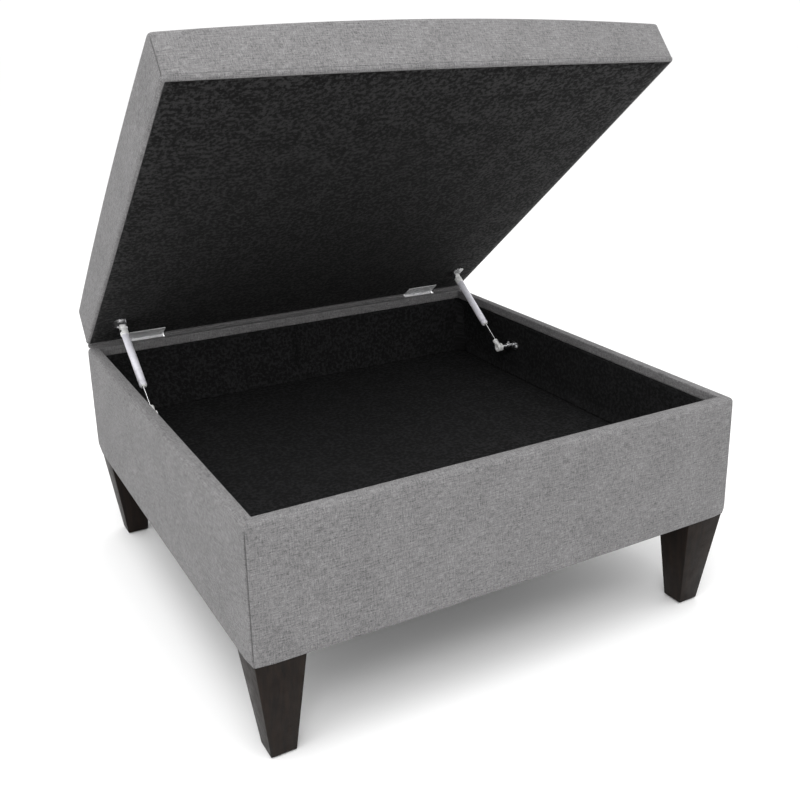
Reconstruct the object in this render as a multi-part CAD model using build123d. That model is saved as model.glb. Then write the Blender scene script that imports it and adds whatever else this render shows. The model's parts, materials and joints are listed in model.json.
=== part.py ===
"""Square storage ottoman: an upholstered box on four tapered legs with a hinged, gas-strutted cushion lid.

Millimetres. X runs across the front, Y from the front to the back, Z up, feet on Z = 0. The lid is drawn open.
Every shape is made about the middle of the box, and the export moves the whole so that its origin is the
middle of the bottom of its overall box.
"""

from build123d import *

import os
from math import atan2, cos, degrees, hypot, radians, sin

# Overall
SIDE = 914.4
HALF = SIDE / 2
RIM_TOP = 408.0
BOX_BOTTOM = 181.0
LID_OPEN = 38.3
LID_EDGE = 80.0
LID_CROWN = 34.0

# Box walls, from the outside in
SKIN = 1.2
PAD = 3.8
PANEL = 15.0
LINING = 1.0
SKIN_CORNER = 6.0
RIM_TURN_DOWN = 18.0
BOTTOM_TURN_IN = 20.0

# Deck and what is under it
DECK_TOP = 262.0
DECK_BOARD = 12.0
CLEAT = 20.0
BLOCK_SIDE = 100.0
PLATE_SIDE = 48.0
PLATE = 3.0
BOLT_R = 4.0
BOLT_IN_LEG = 32.0
BOLT_ABOVE_PLATE = 30.0

# Legs
LEG_TOP_SIDE = 80.2
LEG_FOOT_SIDE = 41.6
LEG_TOP_INSET = 4.9
LEG_FOOT_INSET = 28.6
GLIDE = 2.0
GLIDE_R = 14.0

# Lid
LID_GAP = 2.2
LID_SKIN = 1.6
LID_BOARD = 15.0
LID_TURN_IN = 7.0
UNDER_SKIN = 1.0
LID_CORNER = 8.0

# Hinges
HINGE_X = 335.0
HINGE_LENGTH = 76.0
LEAF = 1.8
LEAF_WIDTH = 34.0
KNUCKLES = 5
KNUCKLE_R = 3.7
KNUCKLE_GAP = 0.3
AXIS_OUT = 4.0
PIN_R = 1.9
PIN_FIT = 0.06
SCREW_HEAD_R = 4.2
SCREW_SHANK_R = 1.8
SCREW_LENGTH = 13.0
HINGE_SCREW_PITCH = 27.0
HINGE_SCREW_IN = 22.0
SCREW_SINK_FIT = 0.05

# Gas struts
STRUT_X = 398.0
LID_BALL_FORWARD = 98.0
LID_BALL_DROP = 12.0
BOX_BALL_FORWARD = 266.0
BOX_BALL_DROP = 75.0
BALL_R = 5.0
BALL_FIT = 0.15
TUBE_R = 7.5
TUBE_WALL = 1.0
TUBE_START = 20.0
TUBE_END = 151.5
TUBE_FLOOR = 2.0
GUIDE_LENGTH = 10.0
GUIDE_NUB = 3.0
GUIDE_NUB_R = 5.5
GUIDE_FIT = 0.05
ROD_R = 3.0
ROD_FIT = 0.06
ROD_INNER_END = 75.0
PISTON_R = 6.4
PISTON_LENGTH = 8.0
LID_SOCKET_R = 8.0
LID_SOCKET_WIDE = 11.0
LID_SOCKET_MOUTH_R = 4.4
COLLAR_R = 8.5
COLLAR_START = 5.0
BOX_SOCKET_R = 9.0
BOX_SOCKET_WIDE = 13.0
BOX_SOCKET_BORE_R = 4.5
ROD_NECK_R = 5.5
ROD_NECK_LENGTH = 22.0

# Strut brackets
BRACKET = 2.0
EAR_GAP = 0.5
FOOT_LENGTH = 45.0
FOOT_WIDE = 24.0
EAR_WIDE = 17.0
STUD_NECK_R = 2.6
WALL_PLATE_LONG = 46.0
WALL_PLATE_TALL = 18.0
STUD_BASE_R = 6.5
STUD_BASE_LENGTH = 18.0
STUD_TIP_R = 3.4
STUD_TIP_GAP = 0.4
PAN_HEAD_R = 3.6
PAN_HEAD = 2.0
BRACKET_SCREW_IN = 7.0

# Worked out from the above
PANEL_OUT = HALF - SKIN - PAD
PANEL_IN = PANEL_OUT - PANEL
INNER = PANEL_IN - LINING
PANEL_TOP = RIM_TOP - SKIN
PANEL_BOTTOM = BOX_BOTTOM + SKIN
LINING_TOP = RIM_TOP - RIM_TURN_DOWN
DECK_BOTTOM = DECK_TOP - LINING - DECK_BOARD
BLOCK_BOTTOM = PANEL_BOTTOM + PLATE
LEG_TOP_MID = HALF - LEG_TOP_INSET - LEG_TOP_SIDE / 2
LEG_FOOT_MID = HALF - LEG_FOOT_INSET - LEG_FOOT_SIDE / 2
LID_BOTTOM = RIM_TOP + LID_GAP
BOARD_BOTTOM = LID_BOTTOM + UNDER_SKIN
BOARD_TOP = BOARD_BOTTOM + LID_BOARD
LID_APEX = LID_BOTTOM + LID_EDGE + LID_CROWN
CROWN_R = HALF**2 / LID_CROWN
AXIS_Y = HALF + AXIS_OUT
AXIS_Z = LID_BOTTOM - AXIS_OUT
TO_OPEN = Pos(0, AXIS_Y, AXIS_Z) * Rot(X=-LID_OPEN) * Pos(0, -AXIS_Y, -AXIS_Z)


def opened(y, z):
    """Where a point of the closed lid is once the lid is open."""
    angle = radians(LID_OPEN)
    ahead, above = AXIS_Y - y, z - AXIS_Z
    return (
        AXIS_Y - ahead * cos(angle) + above * sin(angle),
        AXIS_Z + ahead * sin(angle) + above * cos(angle),
    )


LID_BALL_SHUT = (AXIS_Y - LID_BALL_FORWARD, LID_BOTTOM - LID_BALL_DROP)
LID_BALL = opened(*LID_BALL_SHUT)
BOX_BALL = (AXIS_Y - BOX_BALL_FORWARD, RIM_TOP - BOX_BALL_DROP)
STRUT_LENGTH = hypot(LID_BALL[0] - BOX_BALL[0], LID_BALL[1] - BOX_BALL[1])
STRUT_TILT = degrees(atan2(LID_BALL[1] - BOX_BALL[1], LID_BALL[0] - BOX_BALL[0]))
BACK_REACH = opened(HALF, LID_APEX - LID_CROWN / 2)[0]
ORIGIN_Y = (BACK_REACH - HALF) / 2
CORNERS = {
    "front_left": (-1, -1),
    "front_right": (1, -1),
    "back_left": (-1, 1),
    "back_right": (1, 1),
}
SIDES = {"left": -1, "right": 1}


def block(x, y, z):
    """A box between three pairs of coordinates."""
    size = [abs(high - low) for low, high in (x, y, z)]
    middle = [(low + high) / 2 for low, high in (x, y, z)]
    return Pos(*middle) * Box(*size)


def prism(half, corner, low, high):
    """A square prism of the given half side, with rounded upright edges, between two heights."""
    outline = RectangleRounded(2 * half, 2 * half, corner) if corner else Rectangle(2 * half, 2 * half)
    return Pos(0, 0, low) * extrude(outline, high - low)


def x_rod(radius, start, end, y=0.0, z=0.0):
    """A round bar along X."""
    return Pos((start + end) / 2, y, z) * Rot(Y=90) * Cylinder(radius, abs(end - start))


def z_rod(radius, low, high, x=0.0, y=0.0):
    """A round bar along Z."""
    return Pos(x, y, (low + high) / 2) * Cylinder(radius, high - low)


def group(shapes):
    """Separate solids that share one node."""
    return Compound([solid for shape in shapes for solid in shape.solids()])


# --- Box -------------------------------------------------------------------------------------------------------


def walls():
    """Four panels: the front and back run the full width, and the sides fit between them."""
    height = (PANEL_BOTTOM, PANEL_TOP)
    full, between = (-PANEL_OUT, PANEL_OUT), (-PANEL_IN, PANEL_IN)
    return {
        "front_panel": block(full, (-PANEL_OUT, -PANEL_IN), height),
        "back_panel": block(full, (PANEL_IN, PANEL_OUT), height),
        "left_panel": block((-PANEL_OUT, -PANEL_IN), between, height),
        "right_panel": block((PANEL_IN, PANEL_OUT), between, height),
    }


def wall_pads():
    """Thin batting on the outside of each panel, cut from one rounded ring."""
    pad_out = HALF - SKIN
    ring = prism(pad_out, SKIN_CORNER - SKIN, PANEL_BOTTOM, PANEL_TOP)
    ring -= prism(PANEL_OUT, 0, PANEL_BOTTOM, PANEL_TOP)
    height = (BOX_BOTTOM, RIM_TOP)
    full, between = (-HALF, HALF), (-PANEL_OUT, PANEL_OUT)
    return {
        "front_batting": ring & block(full, (-HALF, -PANEL_OUT), height),
        "back_batting": ring & block(full, (PANEL_OUT, HALF), height),
        "left_batting": ring & block((-HALF, -PANEL_OUT), between, height),
        "right_batting": ring & block((PANEL_OUT, HALF), between, height),
    }


def box_cover():
    """Fabric over the walls, turned down inside at the rim and turned under at the bottom."""
    cover = prism(HALF, SKIN_CORNER, BOX_BOTTOM, RIM_TOP)
    cover -= prism(HALF - SKIN, SKIN_CORNER - SKIN, PANEL_BOTTOM, PANEL_TOP)
    cover -= prism(HALF - BOTTOM_TURN_IN, 0, BOX_BOTTOM, PANEL_BOTTOM)
    cover -= prism(INNER, 0, PANEL_TOP, RIM_TOP)
    turn_down = prism(PANEL_IN, 0, LINING_TOP, PANEL_TOP) - prism(INNER, 0, LINING_TOP, PANEL_TOP)
    return cover + turn_down


def box_linings():
    """Black cloth on the inside of the walls and on the deck, and the dust cover under the box."""
    wall = prism(PANEL_IN, 0, DECK_TOP, LINING_TOP) - prism(INNER, 0, DECK_TOP, LINING_TOP)
    dust = prism(HALF - BOTTOM_TURN_IN, 0, PANEL_BOTTOM - LINING, PANEL_BOTTOM)
    for x, y in CORNERS.values():
        dust -= Pos(x * LEG_TOP_MID, y * LEG_TOP_MID, PANEL_BOTTOM) * Box(PLATE_SIDE, PLATE_SIDE, BLOCK_SIDE)
    return {
        "wall_lining": wall,
        "deck_lining": prism(PANEL_IN, 0, DECK_TOP - LINING, DECK_TOP),
        "bottom_dust_cover": dust,
    }


def deck():
    """The storage floor, the cleats that hold it and the corner blocks that the legs bolt to."""
    cleat_height = (DECK_BOTTOM - CLEAT, DECK_BOTTOM)
    across, along = (-PANEL_IN, PANEL_IN), (CLEAT - PANEL_IN, PANEL_IN - CLEAT)
    cleats = [block(across, sorted((s * PANEL_IN, s * (PANEL_IN - CLEAT))), cleat_height) for s in (-1, 1)]
    cleats += [block(sorted((s * PANEL_IN, s * (PANEL_IN - CLEAT))), along, cleat_height) for s in (-1, 1)]
    reach = PANEL_IN - BLOCK_SIDE / 2
    blocks = [
        Pos(x * reach, y * reach, (BLOCK_BOTTOM + DECK_BOTTOM - CLEAT) / 2)
        * Box(BLOCK_SIDE, BLOCK_SIDE, DECK_BOTTOM - CLEAT - BLOCK_BOTTOM)
        for x, y in CORNERS.values()
    ]
    return {
        "deck_board": prism(PANEL_IN, 0, DECK_BOTTOM, DECK_BOTTOM + DECK_BOARD),
        "deck_cleats": group(cleats),
        "corner_blocks": group(blocks),
    }


# --- Legs ------------------------------------------------------------------------------------------------------


def leg(x, y):
    """A square leg that tapers on all four sides, more on its outer two."""
    foot = Pos(x * LEG_FOOT_MID, y * LEG_FOOT_MID, GLIDE) * Rectangle(LEG_FOOT_SIDE, LEG_FOOT_SIDE)
    top = Pos(x * LEG_TOP_MID, y * LEG_TOP_MID, BOX_BOTTOM) * Rectangle(LEG_TOP_SIDE, LEG_TOP_SIDE)
    return loft([foot.face(), top.face()])


def leg_fittings():
    """Plates, hanger bolts and glides, one of each for every leg."""
    plates, bolts, glides = [], [], []
    for x, y in CORNERS.values():
        mid_x, mid_y = x * LEG_TOP_MID, y * LEG_TOP_MID
        bolt = z_rod(BOLT_R, BOX_BOTTOM - BOLT_IN_LEG, BLOCK_BOTTOM + BOLT_ABOVE_PLATE, mid_x, mid_y)
        plate = Pos(mid_x, mid_y, BLOCK_BOTTOM - PLATE / 2) * Box(PLATE_SIDE, PLATE_SIDE, PLATE)
        plates.append(plate - z_rod(BOLT_R + PIN_FIT, PANEL_BOTTOM, BLOCK_BOTTOM, mid_x, mid_y))
        bolts.append(bolt)
        glides.append(z_rod(GLIDE_R, 0, GLIDE, x * LEG_FOOT_MID, y * LEG_FOOT_MID))
    return {"leg_plates": group(plates), "leg_hanger_bolts": group(bolts), "leg_glides": group(glides)}


# --- Lid, drawn shut -------------------------------------------------------------------------------------------


def crown(drop):
    """The ball whose top is the lid's crown, or a layer that lies the given depth under it."""
    return Pos(0, 0, LID_APEX - CROWN_R) * Sphere(CROWN_R - drop)


def lid_layers():
    """Board, crowned foam, top panel, boxing band and the black cloth underneath."""
    inside, inside_corner = HALF - LID_SKIN, LID_CORNER - LID_SKIN
    top = prism(HALF, LID_CORNER, BOARD_TOP, LID_APEX) & crown(0)
    band = prism(HALF, LID_CORNER, LID_BOTTOM, LID_APEX) & crown(LID_SKIN)
    band -= prism(inside, inside_corner, BOARD_BOTTOM, LID_APEX)
    band -= prism(HALF - LID_TURN_IN, 0, LID_BOTTOM, BOARD_BOTTOM)
    return {
        "lid_board": prism(inside, inside_corner, BOARD_BOTTOM, BOARD_TOP),
        "lid_foam": prism(inside, inside_corner, BOARD_TOP, LID_APEX) & crown(LID_SKIN),
        "lid_top_cover": top - crown(LID_SKIN),
        "lid_band_cover": band,
        "lid_dust_cover": prism(HALF - LID_TURN_IN, 0, LID_BOTTOM, BOARD_BOTTOM),
    }


# --- Hinges ----------------------------------------------------------------------------------------------------


def countersunk_screw():
    """A screw along Z, its head's face at Z = 0 and its shank below."""
    head = Pos(0, 0, -LEAF / 2) * Cone(SCREW_SHANK_R, SCREW_HEAD_R, LEAF)
    return head + z_rod(SCREW_SHANK_R, -SCREW_LENGTH, -LEAF)


def countersink():
    """The hole that the screw sits in."""
    sink = Pos(0, 0, -LEAF / 2) * Cone(SCREW_SHANK_R + SCREW_SINK_FIT, SCREW_HEAD_R + SCREW_SINK_FIT, LEAF)
    return sink


def lid_screw_places(x):
    """Three screws in the lid's leaf, driven up."""
    turn = Pos(0, AXIS_Y - AXIS_OUT - HINGE_SCREW_IN, LID_BOTTOM - LEAF) * Rot(X=180)
    return [Pos(x + step * HINGE_SCREW_PITCH, 0, 0) * turn for step in (-1, 0, 1)]


def box_screw_places(x):
    """Three screws in the box's leaf, driven forwards."""
    turn = Pos(0, HALF + LEAF, AXIS_Z - AXIS_OUT - HINGE_SCREW_IN) * Rot(X=-90)
    return [Pos(x + step * HINGE_SCREW_PITCH, 0, 0) * turn for step in (-1, 0, 1)]


def knuckle_spans(x, first):
    """The stretches of X that one leaf's knuckles take."""
    length = HINGE_LENGTH / KNUCKLES
    start = x - HINGE_LENGTH / 2
    for index in range(first, KNUCKLES, 2):
        yield start + index * length + KNUCKLE_GAP / 2, start + (index + 1) * length - KNUCKLE_GAP / 2


def leaf(x, plate, neck, first, places):
    """One leaf: its plate, the necks and knuckles that it shares the pin with, and its screw holes."""
    ends = (x - HINGE_LENGTH / 2, x + HINGE_LENGTH / 2)
    shape = block(ends, *plate)
    for span in knuckle_spans(x, first):
        shape += block(span, *neck) + x_rod(KNUCKLE_R, *span, AXIS_Y, AXIS_Z)
    shape -= x_rod(PIN_R + PIN_FIT, *ends, AXIS_Y, AXIS_Z)
    for place in places:
        shape -= place * countersink()
    return shape


def box_leaf(x):
    """The leaf on the outside of the back wall."""
    thick = (HALF, HALF + LEAF)
    top = AXIS_Z - AXIS_OUT
    return leaf(x, (thick, (top - LEAF_WIDTH, top)), (thick, (top, AXIS_Z)), 0, box_screw_places(x))


def lid_leaf(x):
    """The leaf on the underside of the lid, drawn shut."""
    thick = (LID_BOTTOM - LEAF, LID_BOTTOM)
    return leaf(x, ((HALF - LEAF_WIDTH, HALF), thick), ((HALF, AXIS_Y), thick), 1, lid_screw_places(x))


def hinges(x):
    """Both leaves and the pin of one hinge."""
    ends = (x - HINGE_LENGTH / 2, x + HINGE_LENGTH / 2)
    return box_leaf(x), TO_OPEN * lid_leaf(x), x_rod(PIN_R, *ends, AXIS_Y, AXIS_Z)


# --- Gas struts, each drawn along +Z from its ball on the lid --------------------------------------------------


def strut_place(side):
    """From a strut's own axes to the open ottoman."""
    return Pos(side * STRUT_X, *LID_BALL) * Rot(X=90 + STRUT_TILT)


def lid_socket(side):
    """The socket on the tube: it clips on the lid's ball from the outside, so its mouth faces inwards."""
    half = LID_SOCKET_WIDE / 2
    shape = x_rod(LID_SOCKET_R, -half, half) + z_rod(COLLAR_R, COLLAR_START, TUBE_START)
    clear_of_ear = EAR_WIDE / 2 + EAR_GAP
    shape -= block((-side * half, -side * COLLAR_R), (-COLLAR_R, COLLAR_R), (0, clear_of_ear))
    shape -= Rot(Y=90) * Sphere(BALL_R + BALL_FIT)
    return shape - x_rod(LID_SOCKET_MOUTH_R, 0, -side * half)


def tube():
    """The cylinder, closed at the lid's end."""
    bore = TUBE_R - TUBE_WALL
    return z_rod(TUBE_R, TUBE_START, TUBE_END) - z_rod(bore, TUBE_START + TUBE_FLOOR, TUBE_END)


def guide():
    """The seal and guide in the tube's open end, with a nub round the rod."""
    plug = z_rod(TUBE_R - TUBE_WALL - GUIDE_FIT, TUBE_END - GUIDE_LENGTH, TUBE_END)
    plug += z_rod(GUIDE_NUB_R, TUBE_END, TUBE_END + GUIDE_NUB)
    return plug - z_rod(ROD_R + ROD_FIT, TUBE_END - GUIDE_LENGTH, TUBE_END + GUIDE_NUB)


def rod():
    """The piston rod, from the piston to the neck of its socket."""
    return z_rod(ROD_R, ROD_INNER_END, STRUT_LENGTH - ROD_NECK_LENGTH)


def rod_socket():
    """The socket on the rod, bored right through, which the wall's stud meets from the outside."""
    half = BOX_SOCKET_WIDE / 2
    head = x_rod(BOX_SOCKET_R, -half, half) + z_rod(ROD_NECK_R, -ROD_NECK_LENGTH, 0)
    return Pos(0, 0, STRUT_LENGTH) * (head - x_rod(BOX_SOCKET_BORE_R, -half, half))


def strut(side):
    """The pieces of one strut, in place on the open ottoman."""
    pieces = {
        "lid_socket": lid_socket(side),
        "tube": tube(),
        "guide": guide(),
        "piston": z_rod(PISTON_R, ROD_INNER_END - PISTON_LENGTH, ROD_INNER_END),
        "rod": rod(),
        "rod_socket": rod_socket(),
    }
    place = strut_place(side)
    return {name: place * shape for name, shape in pieces.items()}


# --- Strut brackets --------------------------------------------------------------------------------------------


def pan_screw():
    """A pan-head screw along Z, its head above Z = 0 and its shank below."""
    return z_rod(PAN_HEAD_R, 0, PAN_HEAD) + z_rod(SCREW_SHANK_R, -SCREW_LENGTH, 0)


def drilled(shape, places):
    """A bracket with its screw holes."""
    for place in places:
        shape -= place * z_rod(SCREW_SHANK_R + SCREW_SINK_FIT, -SCREW_LENGTH, PAN_HEAD)
    return shape


def lid_bracket(side):
    """A foot on the lid's underside, an ear on its inner side and a ball that points outwards. Drawn shut."""
    y, z = LID_BALL_SHUT
    ear_x = STRUT_X - LID_SOCKET_WIDE / 2 - EAR_GAP
    foot = Pos(side * (ear_x - BRACKET + FOOT_WIDE / 2), y, LID_BOTTOM - BRACKET)
    foot *= extrude(RectangleRounded(FOOT_WIDE, FOOT_LENGTH, FOOT_WIDE / 2 - EAR_GAP), BRACKET)
    ear_in, ear_out = side * (ear_x - BRACKET), side * ear_x
    ear = block(sorted((ear_in, ear_out)), (y - EAR_WIDE / 2, y + EAR_WIDE / 2), (z, LID_BOTTOM))
    ear += x_rod(EAR_WIDE / 2, ear_in, ear_out, y, z)
    stud = x_rod(STUD_NECK_R, ear_in, side * STRUT_X, y, z)
    shape = foot + ear + stud + Pos(side * STRUT_X, y, z) * Rot(Y=side * 90) * Sphere(BALL_R)
    return drilled(shape, lid_bracket_screw_places(side))


def lid_bracket_screw_places(side):
    """Two screws through the foot, one towards each end."""
    x = side * (STRUT_X - LID_SOCKET_WIDE / 2 - EAR_GAP - BRACKET + FOOT_WIDE / 2)
    reach = FOOT_LENGTH / 2 - BRACKET_SCREW_IN
    y, z = LID_BALL_SHUT[0], LID_BOTTOM - BRACKET
    return [Pos(x, y + step * reach, z) * Rot(X=180) for step in (-1, 1)]


def wall_bracket(side):
    """A plate on the side wall with a stepped stud that points inwards and stops short of the rod's socket."""
    y, z = BOX_BALL
    plate_x = INNER - BRACKET
    base_x = plate_x - STUD_BASE_LENGTH
    tip_x = STRUT_X + BOX_SOCKET_WIDE / 2 + STUD_TIP_GAP
    outline = Rot(Y=90) * RectangleRounded(WALL_PLATE_TALL, WALL_PLATE_LONG, WALL_PLATE_TALL / 2 - EAR_GAP)
    plate = Pos(side * (INNER - BRACKET / 2), y, z) * extrude(outline, BRACKET / 2, both=True)
    base = x_rod(STUD_BASE_R, side * plate_x, side * base_x, y, z)
    shape = plate + base + x_rod(STUD_TIP_R, side * base_x, side * tip_x, y, z)
    return drilled(shape, wall_bracket_screw_places(side))


def wall_bracket_screw_places(side):
    """Two screws through the plate, driven outwards."""
    reach = WALL_PLATE_LONG / 2 - BRACKET_SCREW_IN
    y, z = BOX_BALL
    x = side * (INNER - BRACKET)
    return [Pos(x, y + step * reach, z) * Rot(Y=-side * 90) for step in (-1, 1)]


# --- Everything ------------------------------------------------------------------------------------------------


def box_nodes():
    """Everything that stands on the floor."""
    nodes = {**walls(), **wall_pads(), "box_cover": box_cover(), **box_linings(), **deck(), **leg_fittings()}
    for name, (x, y) in CORNERS.items():
        nodes[f"leg_{name}"] = leg(x, y)
    for name, side in SIDES.items():
        nodes[f"strut_wall_bracket_{name}"] = wall_bracket(side)
    places = [place for side in SIDES.values() for place in box_screw_places(side * HINGE_X)]
    nodes["hinge_box_screws"] = group(place * countersunk_screw() for place in places)
    places = [place for side in SIDES.values() for place in wall_bracket_screw_places(side)]
    nodes["wall_bracket_screws"] = group(place * pan_screw() for place in places)
    return nodes


def lid_nodes():
    """Everything that turns with the lid, in its open place."""
    shut = lid_layers()
    for name, side in SIDES.items():
        shut[f"strut_lid_bracket_{name}"] = lid_bracket(side)
    places = [place for side in SIDES.values() for place in lid_screw_places(side * HINGE_X)]
    shut["hinge_lid_screws"] = group(place * countersunk_screw() for place in places)
    places = [place for side in SIDES.values() for place in lid_bracket_screw_places(side)]
    shut["lid_bracket_screws"] = group(place * pan_screw() for place in places)
    return {name: TO_OPEN * shape for name, shape in shut.items()}


def hinge_and_strut_nodes():
    """The two hinges and the two gas struts."""
    nodes = {}
    for name, side in SIDES.items():
        parts = hinges(side * HINGE_X)
        for piece, shape in zip(("box_leaf", "lid_leaf", "pin"), parts):
            nodes[f"hinge_{name}_{piece}"] = shape
        for piece, shape in strut(side).items():
            nodes[f"strut_{name}_{piece}"] = shape
    return nodes


def main():
    """Write one STEP file for each node."""
    os.makedirs("parts", exist_ok=True)
    to_origin = Pos(0, -ORIGIN_Y, 0)
    nodes = {**box_nodes(), **lid_nodes(), **hinge_and_strut_nodes()}
    for name, shape in nodes.items():
        export_step(to_origin * shape, f"parts/{name}.step")
    print(len(nodes), "nodes, strut", round(STRUT_LENGTH, 2), "tilt", round(STRUT_TILT, 3))


main()
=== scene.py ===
"""Square storage ottoman with a hinged, gas-strutted cushion lid: its looks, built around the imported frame.

Metres, in the frame's own axes: X runs across the front, Y from the front to the hinges, Z up.
The lid's own pieces are drawn shut and turned open about the hinge at the end.
"""

import json
import logging
import math
from collections.abc import Callable, Iterable, Sequence
from dataclasses import dataclass, replace
from enum import Enum

import bmesh
import bpy
from mathutils import Matrix, Vector, noise


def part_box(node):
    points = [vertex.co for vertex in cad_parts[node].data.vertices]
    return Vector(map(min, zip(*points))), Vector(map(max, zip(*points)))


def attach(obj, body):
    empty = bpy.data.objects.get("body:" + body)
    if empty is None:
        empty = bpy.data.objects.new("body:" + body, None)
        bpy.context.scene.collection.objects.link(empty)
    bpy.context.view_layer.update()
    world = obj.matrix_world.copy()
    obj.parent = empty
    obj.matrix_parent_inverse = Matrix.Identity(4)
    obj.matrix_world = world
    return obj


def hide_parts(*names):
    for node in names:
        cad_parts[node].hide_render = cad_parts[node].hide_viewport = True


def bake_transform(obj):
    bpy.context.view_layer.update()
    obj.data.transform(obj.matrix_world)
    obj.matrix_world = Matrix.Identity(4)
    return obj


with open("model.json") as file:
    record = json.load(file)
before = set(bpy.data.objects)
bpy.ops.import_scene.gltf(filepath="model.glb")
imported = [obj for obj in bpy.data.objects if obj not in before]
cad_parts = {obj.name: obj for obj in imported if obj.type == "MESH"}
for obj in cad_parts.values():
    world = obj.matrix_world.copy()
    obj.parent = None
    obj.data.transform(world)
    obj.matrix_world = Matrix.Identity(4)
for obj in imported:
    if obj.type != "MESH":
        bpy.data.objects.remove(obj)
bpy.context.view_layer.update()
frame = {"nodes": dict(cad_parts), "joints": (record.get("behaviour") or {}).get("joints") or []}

LOG = logging.getLogger("ottoman")
WEAVE_UV = "thread_lines"
SEAM_SHADE = "seam_shade"
MERGE = 2e-5


class Side(Enum):
    """The two sides that carry a hinge and a gas strut."""

    LEFT = -1
    RIGHT = 1

    @property
    def word(self) -> str:
        """The side's name as the frame spells it."""
        return self.name.lower()


class Wall(Enum):
    """The four sides of the square, in the order that a strip goes round them."""

    FRONT = 0
    RIGHT = 1
    BACK = 2
    LEFT = 3


def joint(name: str) -> dict:
    """The frame's joint of that name."""
    return next(j for j in frame["joints"] if j["name"] == name)


@dataclass(frozen=True)
class Ottoman:
    """Sizes and places that the sub-assemblies share."""

    middle_y: float
    half: float
    bottom: float
    rim_top: float
    axis: Vector
    open_angle: float
    lid_gap: float = 0.0022
    front_bow: float = 0.0038
    bow_from: float = 0.2
    hinge_x: float = 0.3350

    @classmethod
    def from_frame(cls) -> "Ottoman":
        """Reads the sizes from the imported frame."""
        low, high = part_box("box_cover")
        hinge = joint("lid_hinge")
        angle = math.radians(hinge["range_deg"][1] - hinge["range_deg"][0])
        return cls((low.y + high.y) / 2, (high.x - low.x) / 2, low.z, high.z, Vector(hinge["pos_m"]), angle)

    def lid_bow(self, x: float, y: float) -> float:
        """How far the lid's underside bows up along its front edge.

        Args:
            x: Across the lid.
            y: Along the lid, from its middle to the hinges.

        Returns:
            The rise, with the lid shut.
        """
        share = min(1.0, abs(x) / self.half)
        return self.front_bow * (1 - share**2) * smooth(-y, self.bow_from, self.half)

    @property
    def lid_under(self) -> float:
        """The height of the lid's underside when it is shut."""
        return self.rim_top + self.lid_gap

    @property
    def opening(self) -> Matrix:
        """Turns what is drawn shut to where the open lid is."""
        turn = Matrix.Rotation(-self.open_angle, 4, "X")
        return Matrix.Translation(self.axis) @ turn @ Matrix.Translation(-self.axis)


OTTOMAN = Ottoman.from_frame()


def smooth(value: float, low: float = 0.0, high: float = 1.0) -> float:
    """A soft step.

    Args:
        value: What is judged.
        low: Where the step starts, at 0.
        high: Where it ends, at 1.

    Returns:
        A number from 0 to 1.
    """
    t = min(1.0, max(0.0, (value - low) / (high - low)))
    return t * t * (3 - 2 * t)


def bell(distance: float, width: float) -> float:
    """A soft bump: 1 at no distance, and nearly 0 at twice the width."""
    return math.exp(-((distance / width) ** 2))


# --- Shader nodes ---------------------------------------------------------------------------------


class Sketch:
    """Short ways to add nodes to one shader tree and link them."""

    def __init__(self, tree: bpy.types.NodeTree) -> None:
        """Starts on a tree."""
        self.tree = tree

    def node(self, kind: str, feeds: dict | None = None, **settings: object) -> bpy.types.Node:
        """Adds a node.

        Args:
            kind: The node's type name.
            feeds: Values or sockets for its inputs, by name or number.
            **settings: The node's own properties.

        Returns:
            The node.
        """
        made = self.tree.nodes.new(kind)
        for name, value in settings.items():
            setattr(made, name, value)
        for key, value in (feeds or {}).items():
            self.feed(made.inputs[key], value)
        return made

    def feed(self, socket: bpy.types.NodeSocket, value: object) -> None:
        """Links a socket into an input, or sets the input's own value."""
        if isinstance(value, bpy.types.NodeSocket):
            self.tree.links.new(value, socket)
        else:
            socket.default_value = value

    def math(self, operation: str, *values: object, clamp: bool = False) -> bpy.types.NodeSocket:
        """The result of one sum."""
        feeds = dict(enumerate(values))
        return self.node("ShaderNodeMath", feeds, operation=operation, use_clamp=clamp).outputs[0]

    def mix(self, factor: object, first: object, second: object) -> bpy.types.NodeSocket:
        """A colour between two colours."""
        made = self.node("ShaderNodeMix", data_type="RGBA")
        for index, value in zip((0, 6, 7), (factor, first, second)):
            self.feed(made.inputs[index], value)
        return made.outputs[2]

    def blend(self, factor: object, first: object, second: object) -> bpy.types.NodeSocket:
        """A number between two numbers."""
        return self.node("ShaderNodeMix", {0: factor, 2: first, 3: second}, data_type="FLOAT").outputs[0]

    def noise(
        self, vector: object, scale: float, detail: float = 2.0, rough: float = 0.5
    ) -> bpy.types.NodeSocket:
        """Soft noise round a half."""
        feeds = {"Vector": vector, "Scale": scale, "Detail": detail, "Roughness": rough}
        return self.node("ShaderNodeTexNoise", feeds).outputs[0]

    def span(self, value: object, low: float, high: float, to: tuple = (0.0, 1.0)) -> bpy.types.NodeSocket:
        """A number moved from one range to another and held inside it."""
        feeds = {0: value, 1: low, 2: high, 3: to[0], 4: to[1]}
        return self.node("ShaderNodeMapRange", feeds).outputs[0]

    def stretch(self, vector: object, scale: tuple, turn: tuple = (0.0, 0.0, 0.0)) -> bpy.types.NodeSocket:
        """A pattern's coordinates scaled and turned."""
        return self.node("ShaderNodeMapping", {"Vector": vector, "Rotation": turn, "Scale": scale}).outputs[0]

    def bump(self, height: object, distance: float, strength: float = 1.0) -> bpy.types.NodeSocket:
        """A normal raised by a height."""
        feeds = {"Height": height, "Distance": distance, "Strength": strength}
        return self.node("ShaderNodeBump", feeds).outputs[0]


SOCKETS = {"value": "NodeSocketFloat", "vector": "NodeSocketVector", "colour": "NodeSocketColor"}


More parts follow.
